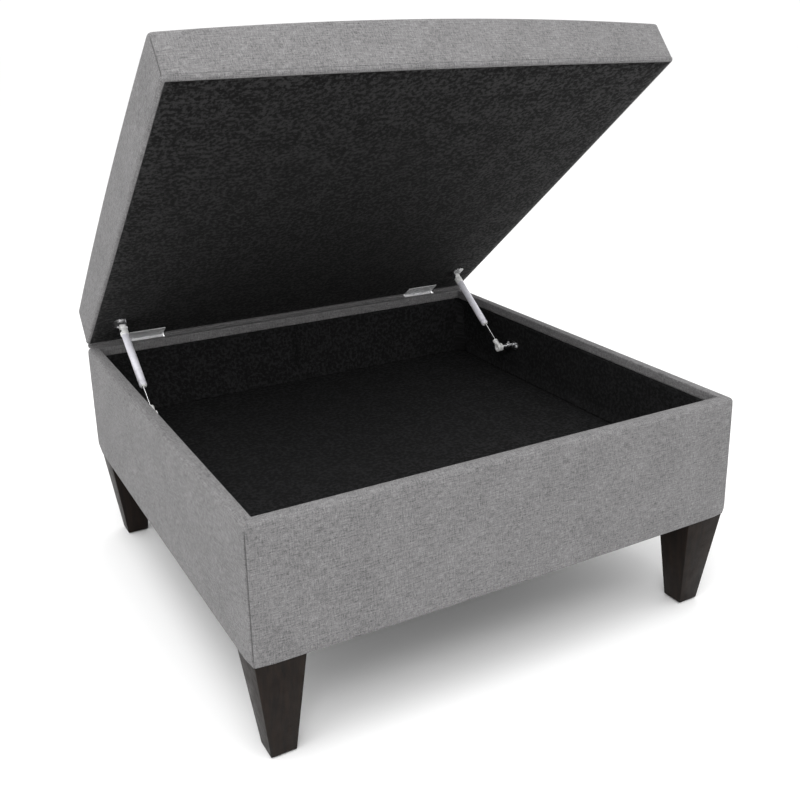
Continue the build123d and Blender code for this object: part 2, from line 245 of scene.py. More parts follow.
def shader_group(
    name: str, inputs: dict, outputs: dict, fill: Callable[[Sketch, dict], dict]
) -> bpy.types.NodeTree:
    """Builds a shader node group once.

    Args:
        name: The group's name.
        inputs: Each input's kind and starting value.
        outputs: Each output's kind.
        fill: Adds the nodes, given the inputs' sockets, and returns the outputs' sockets.

    Returns:
        The group.
    """
    if name in bpy.data.node_groups:
        return bpy.data.node_groups[name]
    tree = bpy.data.node_groups.new(name, "ShaderNodeTree")
    for label, (kind, value) in inputs.items():
        socket = tree.interface.new_socket(label, in_out="INPUT", socket_type=SOCKETS[kind])
        if value is not None:
            socket.default_value = value
    for label, kind in outputs.items():
        tree.interface.new_socket(label, in_out="OUTPUT", socket_type=SOCKETS[kind])
    sketch = Sketch(tree)
    start, end = tree.nodes.new("NodeGroupInput"), tree.nodes.new("NodeGroupOutput")
    for label, socket in fill(sketch, {label: start.outputs[label] for label in inputs}).items():
        sketch.feed(end.inputs[label], socket)
    return tree


def linen_group() -> bpy.types.NodeTree:
    """Plain-woven yarn with slubs both ways: its shade and its height."""

    def fill(s: Sketch, given: dict) -> dict:
        """Adds the yarns."""
        cloth = given["Cloth"]
        parts = s.node("ShaderNodeSeparateXYZ", {0: cloth})
        wander = s.noise(cloth, scale=60.0, detail=2.0)
        drift = s.math("MULTIPLY", s.math("SUBTRACT", wander, 0.5), 0.9)
        yarns, counts, heights = [], [], []
        for axis, across in ((0, (1.0, 0.2, 1.0)), (1, (0.13, 1.0, 1.0))):
            count = s.math("ADD", s.math("DIVIDE", parts.outputs[axis], given["Yarn pitch"]), drift)
            part = s.math("SUBTRACT", s.math("FRACT", count), 0.5)
            heights.append(s.math("SUBTRACT", 1.0, s.math("MULTIPLY", s.math("MULTIPLY", part, part), 4.0)))
            along = s.stretch(cloth, across)
            slub = s.noise(along, scale=900.0, detail=2.0, rough=0.6)
            coarse = s.noise(along, scale=430.0, detail=1.0, rough=0.5)
            yarns.append(s.math("ADD", s.math("MULTIPLY", slub, 0.5), s.math("MULTIPLY", coarse, 0.5)))
            counts.append(s.math("FLOOR", count))
        over = s.math("MODULO", s.math("ABSOLUTE", s.math("ADD", *counts)), 2.0)
        over = s.math("GREATER_THAN", over, 0.5)
        woven = s.blend(over, *yarns)
        both = s.math("MULTIPLY", s.math("ADD", *yarns), 0.5)
        speckle = s.noise(cloth, scale=520.0, detail=2.0, rough=0.7)
        cloud = s.noise(cloth, scale=14.0, detail=3.0, rough=0.55)
        shade = s.math("MULTIPLY_ADD", woven, 0.26, s.math("MULTIPLY", both, 0.34))
        shade = s.math("MULTIPLY_ADD", speckle, 0.24, shade)
        shade = s.math("MULTIPLY_ADD", cloud, 0.07, shade)
        shade = s.math("ADD", shade, 0.045)
        top = s.blend(over, *heights)
        dip = s.math("MULTIPLY", s.math("MULTIPLY", *heights), 0.35)
        height = s.math("ADD", s.math("MULTIPLY", top, 0.65), dip)
        height = s.math("MULTIPLY_ADD", woven, 0.8, height)
        return {"Shade": s.span(shade, 0.36, 0.64), "Height": height}

    inputs = {"Cloth": ("vector", None), "Yarn pitch": ("value", 0.0009)}
    return shader_group("linen_yarns", inputs, {"Shade": "value", "Height": "value"}, fill)


def felt_group() -> bpy.types.NodeTree:
    """Pressed fibre cloth: mottled shade and a faint fibre height."""

    def fill(s: Sketch, given: dict) -> dict:
        """Adds the mottling and the fibres."""
        at = given["Cloth"]
        mottle = s.noise(at, scale=130.0, detail=2.0, rough=0.7)
        clump = s.noise(at, scale=24.0, detail=3.0, rough=0.6)
        first = s.noise(s.stretch(at, (1.0, 0.16, 1.0), (0.0, 0.0, 0.7)), scale=420.0, detail=2.0)
        second = s.noise(s.stretch(at, (0.16, 1.0, 1.0), (0.0, 0.0, 0.5)), scale=420.0, detail=2.0)
        fibre = s.math("MAXIMUM", first, second)
        shade = s.math("MULTIPLY_ADD", mottle, 0.66, s.math("MULTIPLY", clump, 0.22))
        shade = s.math("MULTIPLY_ADD", fibre, 0.12, shade)
        height = s.math("MULTIPLY_ADD", mottle, 0.6, fibre)
        return {"Shade": s.span(shade, 0.464, 0.578), "Height": height}

    outputs = {"Shade": "value", "Height": "value"}
    return shader_group("pressed_fibres", {"Cloth": ("vector", None)}, outputs, fill)


def timber_group() -> bpy.types.NodeTree:
    """Straight wood grain along Z: its shade and its pores."""

    def fill(s: Sketch, given: dict) -> dict:
        """Adds the rings and the pores."""
        at = given["Wood"]
        bend = s.noise(s.stretch(at, (6.0, 6.0, 1.2)), scale=1.0, detail=2.0)
        rings = s.stretch(at, (150.0, 150.0, 7.0))
        lifted = s.node("ShaderNodeVectorMath", {0: rings, 1: bend}, operation="ADD").outputs[0]
        grain = s.noise(lifted, scale=1.0, detail=4.0, rough=0.6)
        pores = s.noise(s.stretch(at, (900.0, 900.0, 28.0)), scale=1.0, detail=2.0, rough=0.6)
        pore = s.span(pores, 0.62, 0.74)
        return {"Shade": s.span(grain, 0.34, 0.66), "Pores": pore}

    outputs = {"Shade": "value", "Pores": "value"}
    return shader_group("straight_grain", {"Wood": ("vector", None)}, outputs, fill)


def handling_group() -> bpy.types.NodeTree:
    """Smudges and fine scratches from handling."""

    def fill(s: Sketch, given: dict) -> dict:
        """Adds the smudges and the scratches."""
        at = given["Surface"]
        smudge = s.span(s.noise(at, scale=55.0, detail=3.0, rough=0.6), 0.35, 0.7)
        fine = s.noise(s.stretch(at, (1.0, 1.0, 0.04), (0.4, 0.2, 0.0)), scale=1900.0, detail=2.0)
        return {"Smudge": smudge, "Scratch": s.span(fine, 0.55, 0.75)}

    outputs = {"Smudge": "value", "Scratch": "value"}
    return shader_group("handling", {"Surface": ("vector", None)}, outputs, fill)


class Finish:
    """A material that is made the first time that a piece asks for it."""

    label: str = "finish"

    def dress(self, s: Sketch, shader: bpy.types.Node) -> None:
        """Adds the finish's own nodes."""
        raise NotImplementedError

    def material(self) -> bpy.types.Material:
        """The finished material.

        Returns:
            The material, shared by every piece with this finish.
        """
        if self.label in bpy.data.materials:
            return bpy.data.materials[self.label]
        made = bpy.data.materials.new(self.label)
        made.use_nodes = True
        sketch = Sketch(made.node_tree)
        self.dress(sketch, made.node_tree.nodes["Principled BSDF"])
        return made


@dataclass(frozen=True)
class LinenFinish(Finish):
    """Heathered grey upholstery cloth, which reads the cloth's own thread lines."""

    label: str = "grey_linen"
    dark: tuple = (0.028, 0.0274, 0.0277, 1.0)
    light: tuple = (0.330, 0.324, 0.3270, 1.0)
    # Painted shade: the dark colour laid where seam grooves and creases fall in shade, and along the lid's
    # underside edge by the dust cloth.
    stitched: tuple = (0.040, 0.039, 0.039, 1.0)
    pitch: float = 0.00095
    bump: float = 0.00035

    def dress(self, s: Sketch, shader: bpy.types.Node) -> None:
        """Weaves the yarns into colour and bump."""
        cloth = s.node("ShaderNodeUVMap", uv_map=WEAVE_UV).outputs[0]
        yarns = s.node("ShaderNodeGroup", node_tree=linen_group())
        s.feed(yarns.inputs["Cloth"], cloth)
        s.feed(yarns.inputs["Yarn pitch"], self.pitch)
        woven = s.mix(yarns.outputs["Shade"], self.dark, self.light)
        # Painted shade: the seam_shade attribute mixes the woven colour towards the painted-shade colour.
        seam = s.node("ShaderNodeAttribute", attribute_name=SEAM_SHADE).outputs["Fac"]
        s.feed(shader.inputs["Base Color"], s.mix(seam, woven, self.stitched))
        s.feed(shader.inputs["Roughness"], s.span(yarns.outputs["Shade"], 0.0, 1.0, (0.95, 0.82)))
        s.feed(shader.inputs["Normal"], s.bump(yarns.outputs["Height"], self.bump, 0.8))
        shader.inputs["Specular IOR Level"].default_value = 0.15
        shader.inputs["Sheen Weight"].default_value = 0.08
        shader.inputs["Sheen Roughness"].default_value = 0.5


@dataclass(frozen=True)
class FeltFinish(Finish):
    """Black pressed-fibre cloth."""

    label: str = "black_dust_cloth"
    dark: tuple = (0.0004, 0.0004, 0.0004, 1.0)
    light: tuple = (0.0210, 0.0205, 0.0208, 1.0)
    bump: float = 0.0004
    roughness: float = 0.85
    sheen: float = 0.03

    def dress(self, s: Sketch, shader: bpy.types.Node) -> None:
        """Lays the fibres."""
        cloth = s.node("ShaderNodeUVMap", uv_map=WEAVE_UV).outputs[0]
        fibres = s.node("ShaderNodeGroup", node_tree=felt_group())
        s.feed(fibres.inputs["Cloth"], cloth)
        s.feed(shader.inputs["Base Color"], s.mix(fibres.outputs["Shade"], self.dark, self.light))
        rough = s.span(fibres.outputs["Shade"], 0.0, 1.0, (self.roughness + 0.1, self.roughness - 0.1))
        s.feed(shader.inputs["Roughness"], rough)
        s.feed(shader.inputs["Normal"], s.bump(fibres.outputs["Height"], self.bump, 0.7))
        shader.inputs["Specular IOR Level"].default_value = 0.16
        shader.inputs["Sheen Weight"].default_value = self.sheen


@dataclass(frozen=True)
class TimberFinish(Finish):
    """Wood with its grain along Z, stained or raw."""

    label: str = "espresso_wood"
    dark: tuple = (0.0030, 0.0016, 0.0010, 1.0)
    light: tuple = (0.0110, 0.0060, 0.0035, 1.0)
    turn: tuple = (0.0, 0.0, 0.0)
    roughness: float = 0.5
    lacquer: float = 0.03

    def dress(self, s: Sketch, shader: bpy.types.Node) -> None:
        """Lays the grain, the pores and the handling marks."""
        at = s.stretch(s.node("ShaderNodeTexCoord").outputs["Object"], (1.0, 1.0, 1.0), self.turn)
        grain = s.node("ShaderNodeGroup", node_tree=timber_group())
        marks = s.node("ShaderNodeGroup", node_tree=handling_group())
        s.feed(grain.inputs["Wood"], at)
        s.feed(marks.inputs["Surface"], at)
        base = s.mix(grain.outputs["Shade"], self.dark, self.light)
        pore = s.math("MULTIPLY", grain.outputs["Pores"], 0.6)
        s.feed(shader.inputs["Base Color"], s.mix(pore, base, self.dark))
        rough = s.span(marks.outputs["Smudge"], 0.0, 1.0, (self.roughness - 0.06, self.roughness + 0.1))
        s.feed(shader.inputs["Roughness"], s.math("MULTIPLY_ADD", grain.outputs["Pores"], 0.15, rough))
        height = s.math("SUBTRACT", grain.outputs["Shade"], s.math("MULTIPLY", grain.outputs["Pores"], 1.5))
        s.feed(shader.inputs["Normal"], s.bump(height, 0.00012, 0.6))
        shader.inputs["Specular IOR Level"].default_value = 0.12
        shader.inputs["Coat Weight"].default_value = self.lacquer
        shader.inputs["Coat Roughness"].default_value = 0.28


@dataclass(frozen=True)
class MetalFinish(Finish):
    """Plated or painted metal."""

    label: str = "zinc"
    colour: tuple = (0.72, 0.72, 0.73, 1.0)
    metallic: float = 1.0
    roughness: float = 0.28
    scratch: float = 0.00004

    def dress(self, s: Sketch, shader: bpy.types.Node) -> None:
        """Adds the tone, the smudges and the scratches."""
        at = s.node("ShaderNodeTexCoord").outputs["Object"]
        marks = s.node("ShaderNodeGroup", node_tree=handling_group())
        s.feed(marks.inputs["Surface"], at)
        worn = tuple(0.8 * c for c in self.colour[:3]) + (1.0,)
        s.feed(shader.inputs["Base Color"], s.mix(marks.outputs["Smudge"], self.colour, worn))
        rough = s.span(marks.outputs["Smudge"], 0.0, 1.0, (self.roughness - 0.05, self.roughness + 0.12))
        s.feed(shader.inputs["Roughness"], rough)
        s.feed(shader.inputs["Normal"], s.bump(marks.outputs["Scratch"], self.scratch, 0.5))
        shader.inputs["Metallic"].default_value = self.metallic


@dataclass(frozen=True)
class PlasticFinish(Finish):
    """Moulded plastic with a fine grain."""

    label: str = "black_plastic"
    colour: tuple = (0.02, 0.02, 0.021, 1.0)
    roughness: float = 0.5

    def dress(self, s: Sketch, shader: bpy.types.Node) -> None:
        """Adds the moulded grain and the smudges."""
        at = s.node("ShaderNodeTexCoord").outputs["Object"]
        marks = s.node("ShaderNodeGroup", node_tree=handling_group())
        s.feed(marks.inputs["Surface"], at)
        paler = tuple(1.6 * c for c in self.colour[:3]) + (1.0,)
        s.feed(shader.inputs["Base Color"], s.mix(marks.outputs["Smudge"], self.colour, paler))
        rough = s.span(marks.outputs["Smudge"], 0.0, 1.0, (self.roughness - 0.08, self.roughness + 0.1))
        s.feed(shader.inputs["Roughness"], rough)
        s.feed(shader.inputs["Normal"], s.bump(s.noise(at, 2500.0, 1.0), 0.00005, 0.6))


LINEN = LinenFinish()
DUST_CLOTH = FeltFinish()
LINING_CLOTH = FeltFinish(
    "black_lining", dark=(0.0065, 0.0065, 0.0067, 1.0), light=(0.015, 0.015, 0.0157, 1.0),
    bump=0.0002, roughness=0.9, sheen=0.0,
)
LEG_WOOD = TimberFinish()
BOARD_WOOD = TimberFinish(
    "raw_board", dark=(0.36, 0.24, 0.13, 1.0), light=(0.62, 0.46, 0.29, 1.0),
    turn=(0.0, math.pi / 2, 0.0), roughness=0.6, lacquer=0.0,
)
ZINC = MetalFinish("zinc_plate", (0.84, 0.84, 0.85, 1.0), metallic=0.15, roughness=0.3)
TUBE_PAINT = MetalFinish("strut_satin", (0.90, 0.89, 0.96, 1.0), metallic=0.08, roughness=0.28)
BRACKET_STEEL = MetalFinish("bracket_steel", (0.60, 0.60, 0.61, 1.0), metallic=1.0, roughness=0.26)
CHROME = MetalFinish("rod_chrome", (0.86, 0.86, 0.87, 1.0), metallic=0.85, roughness=0.16)
COLLAR = MetalFinish("collar_nickel", (0.95, 0.95, 0.94, 1.0), metallic=0.12, roughness=0.26)
BLACK_PLASTIC = PlasticFinish()


# --- Mesh helpers ---------------------------------------------------------------------------------


def to_piece(
    name: str,
    bm: bmesh.types.BMesh,
    finish: Finish,
    body: str | None,
    slot: str,
    replaces: Sequence[str] = (),
) -> bpy.types.Object:
    """Turns a bmesh into a smooth-shaded piece that rides on a body.

    Args:
        name: The piece's name.
        bm: Its shape, in the frame's axes, which is freed.
        finish: Its material.
        body: The body that it rides on, or None for a piece that is left unattached.
        slot: The record's material slot that it stands for; not used.
        replaces: The frame's nodes that it stands for.

    Returns:
        The piece.
    """
    mesh = bpy.data.meshes.new(name)
    bm.to_mesh(mesh)
    bm.free()
    mesh.materials.append(finish.material())
    mesh.shade_smooth()
    piece = bpy.data.objects.new(name, mesh)
    bpy.context.scene.collection.objects.link(piece)
    if body:
        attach(piece, body)
    if replaces:
        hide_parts(*replaces)
    LOG.info("%s: %d faces on %s", name, len(mesh.polygons), body or "two bodies")
    return piece


def hard_edges(bm: bmesh.types.BMesh, degrees: float = 34.0) -> None:
    """Marks the edges that shade as corners."""
    limit = math.radians(degrees)
    for edge in bm.edges:
        edge.smooth = len(edge.link_faces) == 2 and edge.calc_face_angle(0.0) < limit


def bevel(bm: bmesh.types.BMesh, edges: Iterable, width: float, segments: int = 2) -> None:
    """Rounds edges."""
    bmesh.ops.bevel(
        bm, geom=list(edges), offset=width, offset_type="OFFSET", segments=segments, profile=0.5,
        affect="EDGES", material=-1, clamp_overlap=True,
    )


def slab(
    low: Sequence[float], high: Sequence[float], edge: float = 0.0, segments: int = 2
) -> bmesh.types.BMesh:
    """A board between two corners with all its edges rounded.

    Args:
        low: Its lowest corner.
        high: Its highest corner.
        edge: The edges' radius.
        segments: Faces across each rounded edge.

    Returns:
        The shape.
    """
    bm = bmesh.new()
    low, high = Vector(low), Vector(high)
    bmesh.ops.create_cube(bm, size=1.0)
    bmesh.ops.scale(bm, vec=high - low, verts=bm.verts)
    bmesh.ops.translate(bm, vec=(low + high) / 2, verts=bm.verts)
    if edge:
        bevel(bm, bm.edges, edge, segments)
    return bm


def turned(profile: Sequence[tuple[float, float]], steps: int = 32) -> bmesh.types.BMesh:
    """A lathe-turned shape about Z.

    Args:
        profile: Radius and height of each point, from one end of the outline to the other.
        steps: Faces round it.

    Returns:
        The shape, closed where the outline meets the axis.
    """
    bm = bmesh.new()
    points = [bm.verts.new((radius, 0.0, height)) for radius, height in profile]
    edges = [bm.edges.new(pair) for pair in zip(points, points[1:])]
    bmesh.ops.spin(
        bm, geom=points + edges, cent=(0, 0, 0), axis=(0, 0, 1), angle=2 * math.pi, steps=steps,
        use_merge=True, use_duplicate=False,
    )
    bmesh.ops.remove_doubles(bm, verts=bm.verts, dist=MERGE)
    bmesh.ops.recalc_face_normals(bm, faces=bm.faces)
    return bm


def joined(shapes: Iterable[bmesh.types.BMesh]) -> bmesh.types.BMesh:
    """Several shapes as one.

    Args:
        shapes: The shapes, which are freed.

    Returns:
        One shape that holds them all.
    """
    whole = bmesh.new()
    for shape in shapes:
        part = bpy.data.meshes.new("part")
        shape.to_mesh(part)
        shape.free()
        whole.from_mesh(part)
        bpy.data.meshes.remove(part)
    return whole


def moved(bm: bmesh.types.BMesh, place: Matrix) -> bmesh.types.BMesh:
    """The shape after a move."""
    bmesh.ops.transform(bm, matrix=place, verts=bm.verts)
    return bm


def lengthwise(start: Vector, end: Vector) -> Matrix:
    """Stands a shape drawn along +Z on one point, pointing at another, with its X kept along X."""
    up = (end - start).normalized()
    across = Vector((1, 0, 0)) if abs(up.x) < 0.9 else Vector((0, 1, 0))
    side = (across - across.project(up)).normalized()
    turn = Matrix((side, up.cross(side), up)).transposed().to_4x4()
    return Matrix.Translation(start) @ turn


@dataclass(frozen=True)
class Station:
    """One upright line of a strip that goes round a rounded square."""

    base: Vector
    outward: Vector
    along: float
    wall: Wall
    from_corner: float
    share: float

    def point(self, radius: float, half: float, inset: float, height: float) -> Vector:
        """Where the strip is at an inset from its outside.

        Args:
            radius: The square's corner radius.
            half: The square's half side.
            inset: The distance inwards from the outside.
            height: The height.

        Returns:
            The point, about the box's middle.
        """
        shrink = 1.0 if inset <= radius else (half - inset) / (half - radius)
        flat = self.base * shrink + self.outward * max(0.0, radius - inset)
        return Vector((flat.x, flat.y + OTTOMAN.middle_y, height))


def stations(half: float, radius: float, gaps: int = 56, arc: int = 8) -> list[Station]:
    """The upright lines of a strip round a rounded square.

    Args:
        half: Half the square's side.
        radius: Its corners' radius.
        gaps: Faces along each straight side, which are narrower near its ends.
        arc: Faces round each corner, an even number so that a seam has a line of its own.

    Returns:
        The lines, from the middle of the back round to it again.
    """
    found, along = [], 0.0
    straight, quarter = half - radius, math.pi / 2
    middle = gaps // 2
    route = [(Wall.BACK, middle, gaps), (Wall.LEFT, 0, gaps), (Wall.FRONT, 0, gaps), (Wall.RIGHT, 0, gaps)]
    for wall, first, last in [*route, (Wall.BACK, 0, middle)]:
        outward = Matrix.Rotation((wall.value - 1) * quarter, 2) @ Vector((1, 0))
        onwards = Vector((-outward.y, outward.x))
        for step in range(first, last + 1):
            even = 2 * step / gaps - 1
            place = math.copysign(1 - (1 - abs(even)) ** 1.25, even)
            to_corner = straight * (1 - abs(place)) + radius * quarter / 2
            base = outward * straight + onwards * straight * place
            found.append(Station(base, outward, along + straight * place, wall, to_corner, place))
        for step in range(1, arc) if last == gaps else ():
            turn = Matrix.Rotation(quarter * step / arc, 2)
            passed = radius * quarter * step / arc
            nearer = wall if step < arc // 2 else Wall((wall.value + 1) % 4)
            base = (outward + onwards) * straight
            apart = abs(passed - radius * quarter / 2)
            found.append(Station(base, turn @ outward, along + straight + passed, nearer, apart, 1.0))
        along += 2 * straight + radius * quarter
    return found


def strip(
    lines: Sequence[Station],
    rows: int,
    place: Callable[[Station, int], Vector],
    across: Sequence[float],
    stitched: Callable[[Station, int], float] | None = None,
) -> bmesh.types.BMesh:
    """A strip of faces round a square, with thread lines that follow it.

    Args:
        lines: The upright lines.
        rows: Faces from one edge of the strip to the other.
        place: Gives the point on a line at a row.
        across: The cloth's distance across the strip at each row.
        stitched: Gives how far a point is darkened with painted shade, such as the shade in a seam, from 0 to
            1.

    Returns:
        The strip, merged where it meets itself.
    """
    bm = bmesh.new()
    columns = len(lines) - 1
    bmesh.ops.create_grid(bm, x_segments=columns, y_segments=rows, size=0.5)
    seam = bm.verts.layers.float.new(SEAM_SHADE)
    cloth = bm.loops.layers.uv.new(WEAVE_UV)
    at = {v: (round((v.co.x + 0.5) * columns), round((v.co.y + 0.5) * rows)) for v in bm.verts}
    for face in bm.faces:
        wall = lines[min(at[v][0] for v in face.verts)].wall.value
        for loop in face.loops:
            column, row = at[loop.vert]
            loop[cloth].uv = (lines[column].along + 0.613 * wall, across[row] + 0.37 * wall)
    for vert, (column, row) in at.items():
        vert.co = place(lines[column], row)
        vert[seam] = stitched(lines[column], row) if stitched else 0.0
    bmesh.ops.remove_doubles(bm, verts=bm.verts, dist=MERGE)
    bmesh.ops.dissolve_degenerate(bm, edges=bm.edges, dist=MERGE)
    return bm


def field_of_cloth(
    low: Sequence[float], high: Sequence[float], gap: float, height: Callable[[float, float], float]
) -> bmesh.types.BMesh:
    """A level sheet of faces with thread lines, raised and lowered point by point.

    Args:
        low: Its lowest X and Y.
        high: Its highest X and Y.
        gap: The faces' size.
        height: Gives the height at a point.

    Returns:
        The sheet.
    """
    bm = bmesh.new()
    wide, long = high[0] - low[0], high[1] - low[1]
    bmesh.ops.create_grid(bm, x_segments=round(wide / gap), y_segments=round(long / gap), size=0.5)
    cloth = bm.loops.layers.uv.new(WEAVE_UV)
    for vert in bm.verts:
        x, y = low[0] + (vert.co.x + 0.5) * wide, low[1] + (vert.co.y + 0.5) * long
        vert.co = (x, y, height(x, y))
    for face in bm.faces:
        for loop in face.loops:
            loop[cloth].uv = loop.vert.co.xy
    return bm


def thicken(piece: bpy.types.Object, thickness: float, offset: float) -> None:
    """Gives a sheet its thickness with a modifier."""
    made = piece.modifiers.new("cloth_thickness", "SOLIDIFY")
    made.thickness, made.offset = thickness, offset


def soften(piece: bpy.types.Object, levels: int = 1) -> None:
    """Rounds a piece's facets with a subdivision surface."""
    made = piece.modifiers.new("soften", "SUBSURF")
    made.levels = made.render_levels = levels


def lumps(point: Vector, scale: float, seed: float) -> float:
    """Soft uneven filling: from about -1 to 1."""
    return noise.noise(Vector((point.x / scale, point.y / scale + seed, point.z / scale)))


# --- The box --------------------------------------------------------------------------------------


@dataclass
class BoxCover:
    """Linen over thin wadding on the box's walls, rolled over the rim and turned under at the bottom."""

    corner: float = 0.0075
    rim_roll: float = 0.0088
    inner_roll: float = 0.0022
    rim_width: float = 0.0210
    turn_down: float = 0.0180
    turn_under: float = 0.0200
    bottom_roll: float = 0.0030
    wadding: float = 0.0048
    bulge: float = 0.0022
    rim_bow: float = 0.0012
    sag: float = 0.0018
    seam: float = 0.0019
    seam_width: float = 0.0012
    seam_ridge: float = 0.0005
    # Strength of the painted shade in the corner seams.
    seam_shade: float = 0.75
    pucker: float = 0.00025
    tuck: float = 0.0030
    wrap: float = 0.0009
    hinge_hollow: tuple = (0.045, 0.075)

    def profile(self) -> list[tuple[float, float, float]]:
        """The cover's outline across a wall.

        Returns:
            Inset, height and the cloth's distance for each point, from under the box over the rim and back
            inside.
        """
        low, top = OTTOMAN.bottom, OTTOMAN.rim_top
        outline = [(self.turn_under, low + 0.001), (self.turn_under, low), (0.012, low), (0.006, low)]
        outline += self.roll(self.bottom_roll, self.bottom_roll, low + self.bottom_roll, 180, 4)
        wall_low, wall_high = low + self.bottom_roll, top - self.rim_roll
        steps = 20
        outline += [(0.0, wall_low + (wall_high - wall_low) * step / steps) for step in range(1, steps)]
        outline += self.roll(self.rim_roll, self.rim_roll, wall_high, 270, 7)
        outline += [(inset, top) for inset in (0.010, 0.0135, 0.0165)]
        outline += self.roll(self.inner_roll, self.rim_width - self.inner_roll, top - self.inner_roll, 0, 4)
        foot = top - self.turn_down
        outline += [(self.rim_width, top - drop) for drop in (0.006, 0.011, 0.0155)]
        inside = self.rim_width - self.wrap
        outline += [(self.rim_width, foot), (inside, foot)]
        outline += [(inside, top - 0.003), (self.wadding, top - 0.003)]
        outline += [(self.wadding, low + 0.003), (self.wadding + 0.002, low + 0.0012), outline[0]]
        cloth, found = 0.0, []
        for index, (inset, height) in enumerate(outline):
            if index:
                before = outline[index - 1]
                cloth += math.hypot(inset - before[0], height - before[1])
            found.append((inset, height, cloth))
        return found

    @staticmethod
    def roll(
        radius: float, inset: float, height: float, start: float, steps: int
    ) -> list[tuple[float, float]]:
        """A quarter round of the outline.

        Args:
            radius: The round's radius.
            inset: Its centre's inset.
            height: Its centre's height.
            start: The angle where it starts, in degrees: 180 below the centre, 270 outside it, 0 above it.
            steps: Faces round it.

        Returns:
            The round's points.
        """
        points = []
        for step in range(steps + 1):
            angle = math.radians(start + 90 * step / steps)
            points.append((inset + radius * math.sin(angle), height + radius * math.cos(angle)))
        return points

    def push(self, line: Station, inset: float, height: float) -> tuple[float, float]:
        """Where the padded cover lies, next to its plain outline.

        Args:
            line: The upright line.
            inset: The plain inset.
            height: The plain height.

        Returns:
            The padded inset and height.
        """
        low, top = OTTOMAN.bottom, OTTOMAN.rim_top
        rise = (height - low) / (top - low)
        mid = 1 - line.share**2
        outside = smooth(self.wadding - inset, 0.0, 0.002)
        near_seam = 1 - math.exp(-line.from_corner / 0.035)
        full = math.sin(math.pi * min(1.0, max(0.0, rise))) ** 0.7 if 0 < rise < 1 else 0.0
        spot = Vector((line.along, 0.0, height))
        soft = self.bulge * full * near_seam * (0.75 + 0.25 * mid)
        soft += 0.00055 * full * near_seam * lumps(spot, 0.11, 3.0) + 0.0002 * full * lumps(spot, 0.03, 7.0)
        soft += self.rim_bow * mid * smooth(rise, 0.4, 1.0)
        if line.wall is Wall.BACK:
            off_hinge = abs(abs(line.base.x) - OTTOMAN.hinge_x)
            press = smooth(rise, 0.68, 0.80) * (1 - smooth(off_hinge, *self.hinge_hollow))
            soft *= 1 - press
        below_rim = 1 - smooth(rise, 0.93, 0.975)
        groove = self.seam * bell(line.from_corner, self.seam_width) * smooth(rise, 0.0, 0.04) * below_rim
        groove -= self.seam_ridge * bell(line.from_corner - 0.0031, 0.0016) * below_rim
        pucker = self.pucker * bell(line.from_corner, 0.009) * lumps(spot, 0.012, 11.0)
        tuck = self.tuck * bell(line.from_corner, 0.020) * (1 - smooth(rise, 0.0, 0.075))
        inset_now = inset - outside * (soft - groove - tuck + pucker)
        hang = self.sag * mid * (1 - smooth(rise, 0.0, 0.3)) * (1.0 if inset < self.turn_under else 0.4)
        crown = 0.0003 * bell(inset - 0.012, 0.006) * smooth(rise, 0.97, 1.0)
        return inset_now, height - hang + crown

    def build(self) -> bpy.types.Object:
        """Makes the cover.

        Returns:
            The piece.
        """
        outline = self.profile()
        lines = stations(OTTOMAN.half, self.corner)

        def place(line: Station, row: int) -> Vector:
            """The padded point on a line at a row."""
            inset, height = self.push(line, outline[row][0], outline[row][1])
            return line.point(self.corner, OTTOMAN.half, inset, height)

        def stitched(line: Station, row: int) -> float:
            """The corner seams' painted shade, which stops under the rolled rim."""
            inset, height = outline[row][0], outline[row][1]
            rise = (height - OTTOMAN.bottom) / (OTTOMAN.rim_top - OTTOMAN.bottom)
            on_wall = (1 - smooth(rise, 0.93, 0.965)) if inset < self.wadding else 0.0
            return self.seam_shade * bell(line.from_corner, 0.0009) * on_wall

        bm = strip(lines, len(outline) - 1, place, [point[2] for point in outline], stitched)
        bmesh.ops.recalc_face_normals(bm, faces=bm.faces)
        hidden = ["box_cover", *(f"{wall}_batting" for wall in ("front", "back", "left", "right"))]
        piece = to_piece("box_upholstery", bm, LINEN, "base", "upholstery_fabric", hidden)
        return piece


